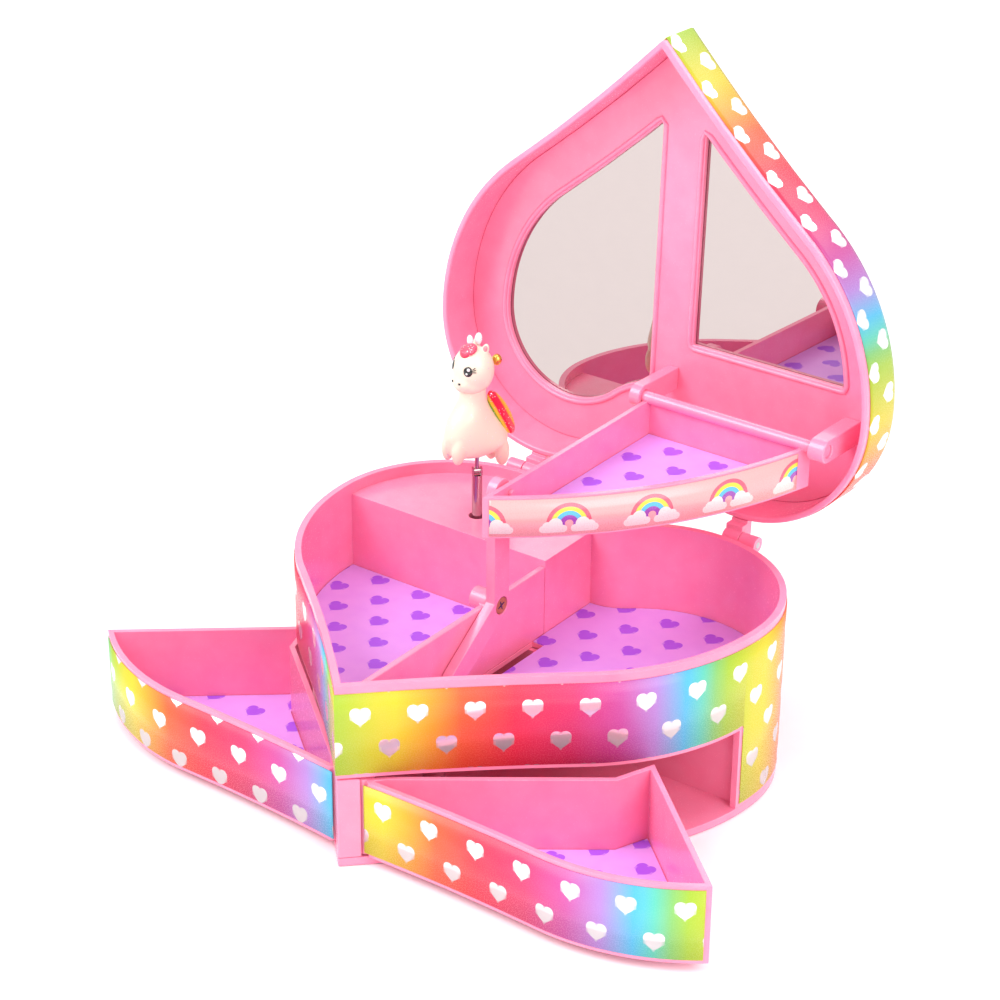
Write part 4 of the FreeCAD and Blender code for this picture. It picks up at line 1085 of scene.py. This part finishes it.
    def hair(self) -> None:
        """Forelock, mane in tapering locks down the back of the neck, and a leaf-shaped tail."""
        front = [egg.shape() for egg in self.forelock]
        self.place("figure_forelock", front, FORELOCK, "rainbow_glitter", ("figure_mane",))
        locks = []
        t = np.linspace(0, 1, 24)
        radii = self.lock_radius * np.sin(math.pi * np.clip(t * 0.92 + 0.05, 0, 1)) ** 0.7 + 0.02
        back = -self.lock_back - self.lock_swell * np.sin(math.pi * t * 0.72)
        for y, lean in self.locks:
            sway = y + self.lock_sway * np.sin(5 * t + lean)
            locks.append(swept(np.stack([back, sway, self.lock_top - self.lock_drop * t], 1), radii))
        self.place("figure_mane_locks", locks, HAIR, "rainbow_glitter")
        self.place("figure_tail_leaf", [self.tail.shape()], TAIL, "rainbow_glitter", ("figure_tail",))

    def trims(self) -> None:
        """Pearly tips between the ears and a gold bead behind the head."""
        self.place("figure_pearls", [egg.shape() for egg in self.pearls], PEARL)
        self.place("figure_bead", [self.bead.shape()], GOLD, blend=False)

    def build(self) -> None:
        """Makes the whole figure."""
        self.skins()
        self.face()
        self.hair()
        self.trims()


@dataclass
class Trims:
    """Small raised trims: beads round the mirror windows, and a black cross in the arm screw's head that
    is painted shade in its recess.
    """

    bead: float = 0.9
    bead_off: float = 1.6
    bead_foot: float = 0.2
    panel: float = 86.3
    inset: float = 18.5
    bar_left: float = -8.0
    bar_right: float = 9.8
    right_rear: float = 30.0
    screw: Place = (3.32, 4.2, 62.3)
    slot: Place = (0.06, 1.9, 0.42)
    slot_turns: Row = (20.0, 110.0)

    def window(self, name: str, corners: Array, count: int = 300) -> None:
        """Half-round bead along a closed outline on the panel's front.

        Args:
            name: the piece's name.
            corners: rows of X and Y round the window in the closed lid.
            count: even steps along it.
        """
        closed = np.concatenate([corners, corners[:1]])
        along = lengths(closed)
        at = np.linspace(0, along[-1], count, endpoint=False)
        outline = np.stack([np.interp(at, along, closed[:, n]) for n in (0, 1)], 1)
        ahead = np.roll(outline, -1, 0) - np.roll(outline, 1, 0)
        ahead /= np.linalg.norm(ahead, axis=1, keepdims=True)
        out = np.stack([ahead[:, 1], -ahead[:, 0]], 1)
        turn = np.linspace(0, math.pi, 9)
        shift = np.concatenate([np.cos(turn), [0.0]]) * self.bead
        drop = np.concatenate([np.sin(turn), [-self.bead_foot]]) * self.bead
        plan = outline[:, None] + out[:, None] * (shift + self.bead_off)[None, :, None]
        height = np.broadcast_to(self.panel - drop, plan.shape[:2])
        points = np.concatenate([plan, height[..., None]], -1).reshape(-1, 3)
        loop = np.concatenate([points, points[:len(shift)]])
        piece = Piece.drawn(name, LID_OPEN.move(loop), grid_faces(count + 1, len(shift), True))
        piece.dress(PINK, "lid", "pink_plastic")

    def build(self) -> None:
        """Makes the beads and the screw's black cross of painted shade."""
        ring = HEART.ring(self.inset)
        self.window("left_window_bead", ring[ring[:, 0] < self.bar_left])
        right = ring[(ring[:, 0] > self.bar_right) & (ring[:, 1] < self.right_rear)]
        corner = np.array([[self.bar_right, self.right_rear]])
        self.window("right_window_bead", np.concatenate([right, corner]))
        # The screw head's cross recess is drawn as flat black eggs: painted shade.
        slots = [Egg(self.screw, self.slot, roll=turn).shape() for turn in self.slot_turns]
        Piece.drawn("arm_screw_cross", *gather(slots)).dress(BLACK, "base")


@dataclass
class Studio:
    """Floor, lights, world and camera. A lamp has a name, a place in metres, a power and a size."""

    lamps: tuple[tuple[str, Place, float, float], ...] = (
        ("key_lamp", (-0.9, -1.3, 1.7), 33.0, 1.3), ("fill_lamp", (1.6, -0.5, 1.1), 18.0, 1.2),
        ("top_lamp", (0.1, 0.1, 2.2), 8.0, 1.4), ("rear_lamp", (0.3, 1.6, 1.4), 9.0, 1.0))
    lit: Place = (0.0, 0.0, 0.09)
    ambient: float = 0.72
    reach: float = 3000.0
    sink: float = -0.3
    eye: Place = (512.5, -697.7, 540.6)
    ahead: Place = (-0.5219, 0.6915, -0.4995)
    right: Place = (0.7982, 0.6024, 0.0)
    optics = {"sensor_width": 36.0, "lens": 104.04, "shift_x": 0.0465, "shift_y": 0.160,
              "clip_start": 0.02}

    def floor(self) -> None:
        """Plain pale floor under the box."""
        corners = ((-1, -1), (1, -1), (1, 1), (-1, 1))
        span = np.array([(x * self.reach, y * self.reach, self.sink) for x, y in corners])
        mesh = bpy.data.meshes.new("floor")
        mesh.from_pydata((span * MM).tolist(), [], [[0, 1, 2, 3]])
        mesh.materials.append(FLOOR.material())
        add_object("floor", mesh)

    def lamp(self, name: str, place: Place, power: float, size: float) -> None:
        """Soft lamp that points at the box.

        Args:
            name: the lamp's name.
            place: where it hangs, in metres.
            power: its power in watts.
            size: the side of its square, in metres.
        """
        data = bpy.data.lights.new(name, "AREA")
        configure(data, {"energy": power, "size": size})
        turn = Vector(np.array(self.lit) - np.array(place)).to_track_quat("-Z", "Y")
        configure(add_object(name, data),
                  {"location": place, "rotation_mode": "QUATERNION", "rotation_quaternion": turn})

    def world(self) -> None:
        """Even light: white to the camera and to gloss, and plain grey light on the object."""
        world = bpy.data.worlds.new("studio")
        bpy.context.scene.world = world
        world.use_nodes = True
        world.node_tree.nodes.clear()
        graph = Graph(world.node_tree)
        path = graph.add("LightPath")
        seen = path.outputs["Is Camera Ray"]
        for kind in ("Is Glossy Ray", "Is Transmission Ray"):
            seen = graph.math("MAXIMUM", seen, path.outputs[kind])
        strength = graph.spread(seen, self.ambient, 1.0)
        sky = graph.add("Background", {0: (1.0, 1.0, 1.0), 1: strength})
        graph.add("OutputWorld", {0: sky.outputs[0]})

    def camera(self) -> None:
        """The camera where the box was seen from, as three axes and a place."""
        data = bpy.data.cameras.new("camera")
        configure(data, self.optics)
        made = add_object("camera", data)
        ahead, right = np.array(self.ahead), np.array(self.right)
        up = np.cross(right, ahead)
        axes = np.eye(4)
        axes[:3, 0], axes[:3, 1], axes[:3, 2] = right, up, -ahead
        axes[:3, 3] = np.array(self.eye) * MM
        made.matrix_world = Matrix(axes.tolist())
        bpy.context.scene.camera = made

    def build(self) -> None:
        """Sets the whole studio."""
        self.floor()
        for row in self.lamps:
            self.lamp(*row)
        self.world()
        self.camera()
        bpy.context.scene.view_settings.view_transform = "Standard"


def dress_nodes() -> None:
    """Gives every node of the frame the finish of its slot, and plain pink to those under films."""
    for label, made in frame["nodes"].items():
        made.data.materials.clear()
        made.data.materials.append(FINISH_OF.get(SLOT_OF[label], PINK).material())
        LOG.info("node %s in %s", label, SLOT_OF[label])


def main() -> None:
    """Dresses the frame, builds the new pieces and sets the studio."""
    logging.basicConfig(level=logging.INFO, format="%(name)s: %(message)s")
    dress_nodes()
    for maker in (Mouldings(), Films(), Trims(), Figure(), Studio()):
        maker.build()
    bpy.context.view_layer.update()


if __name__ == "__main__":
    main()
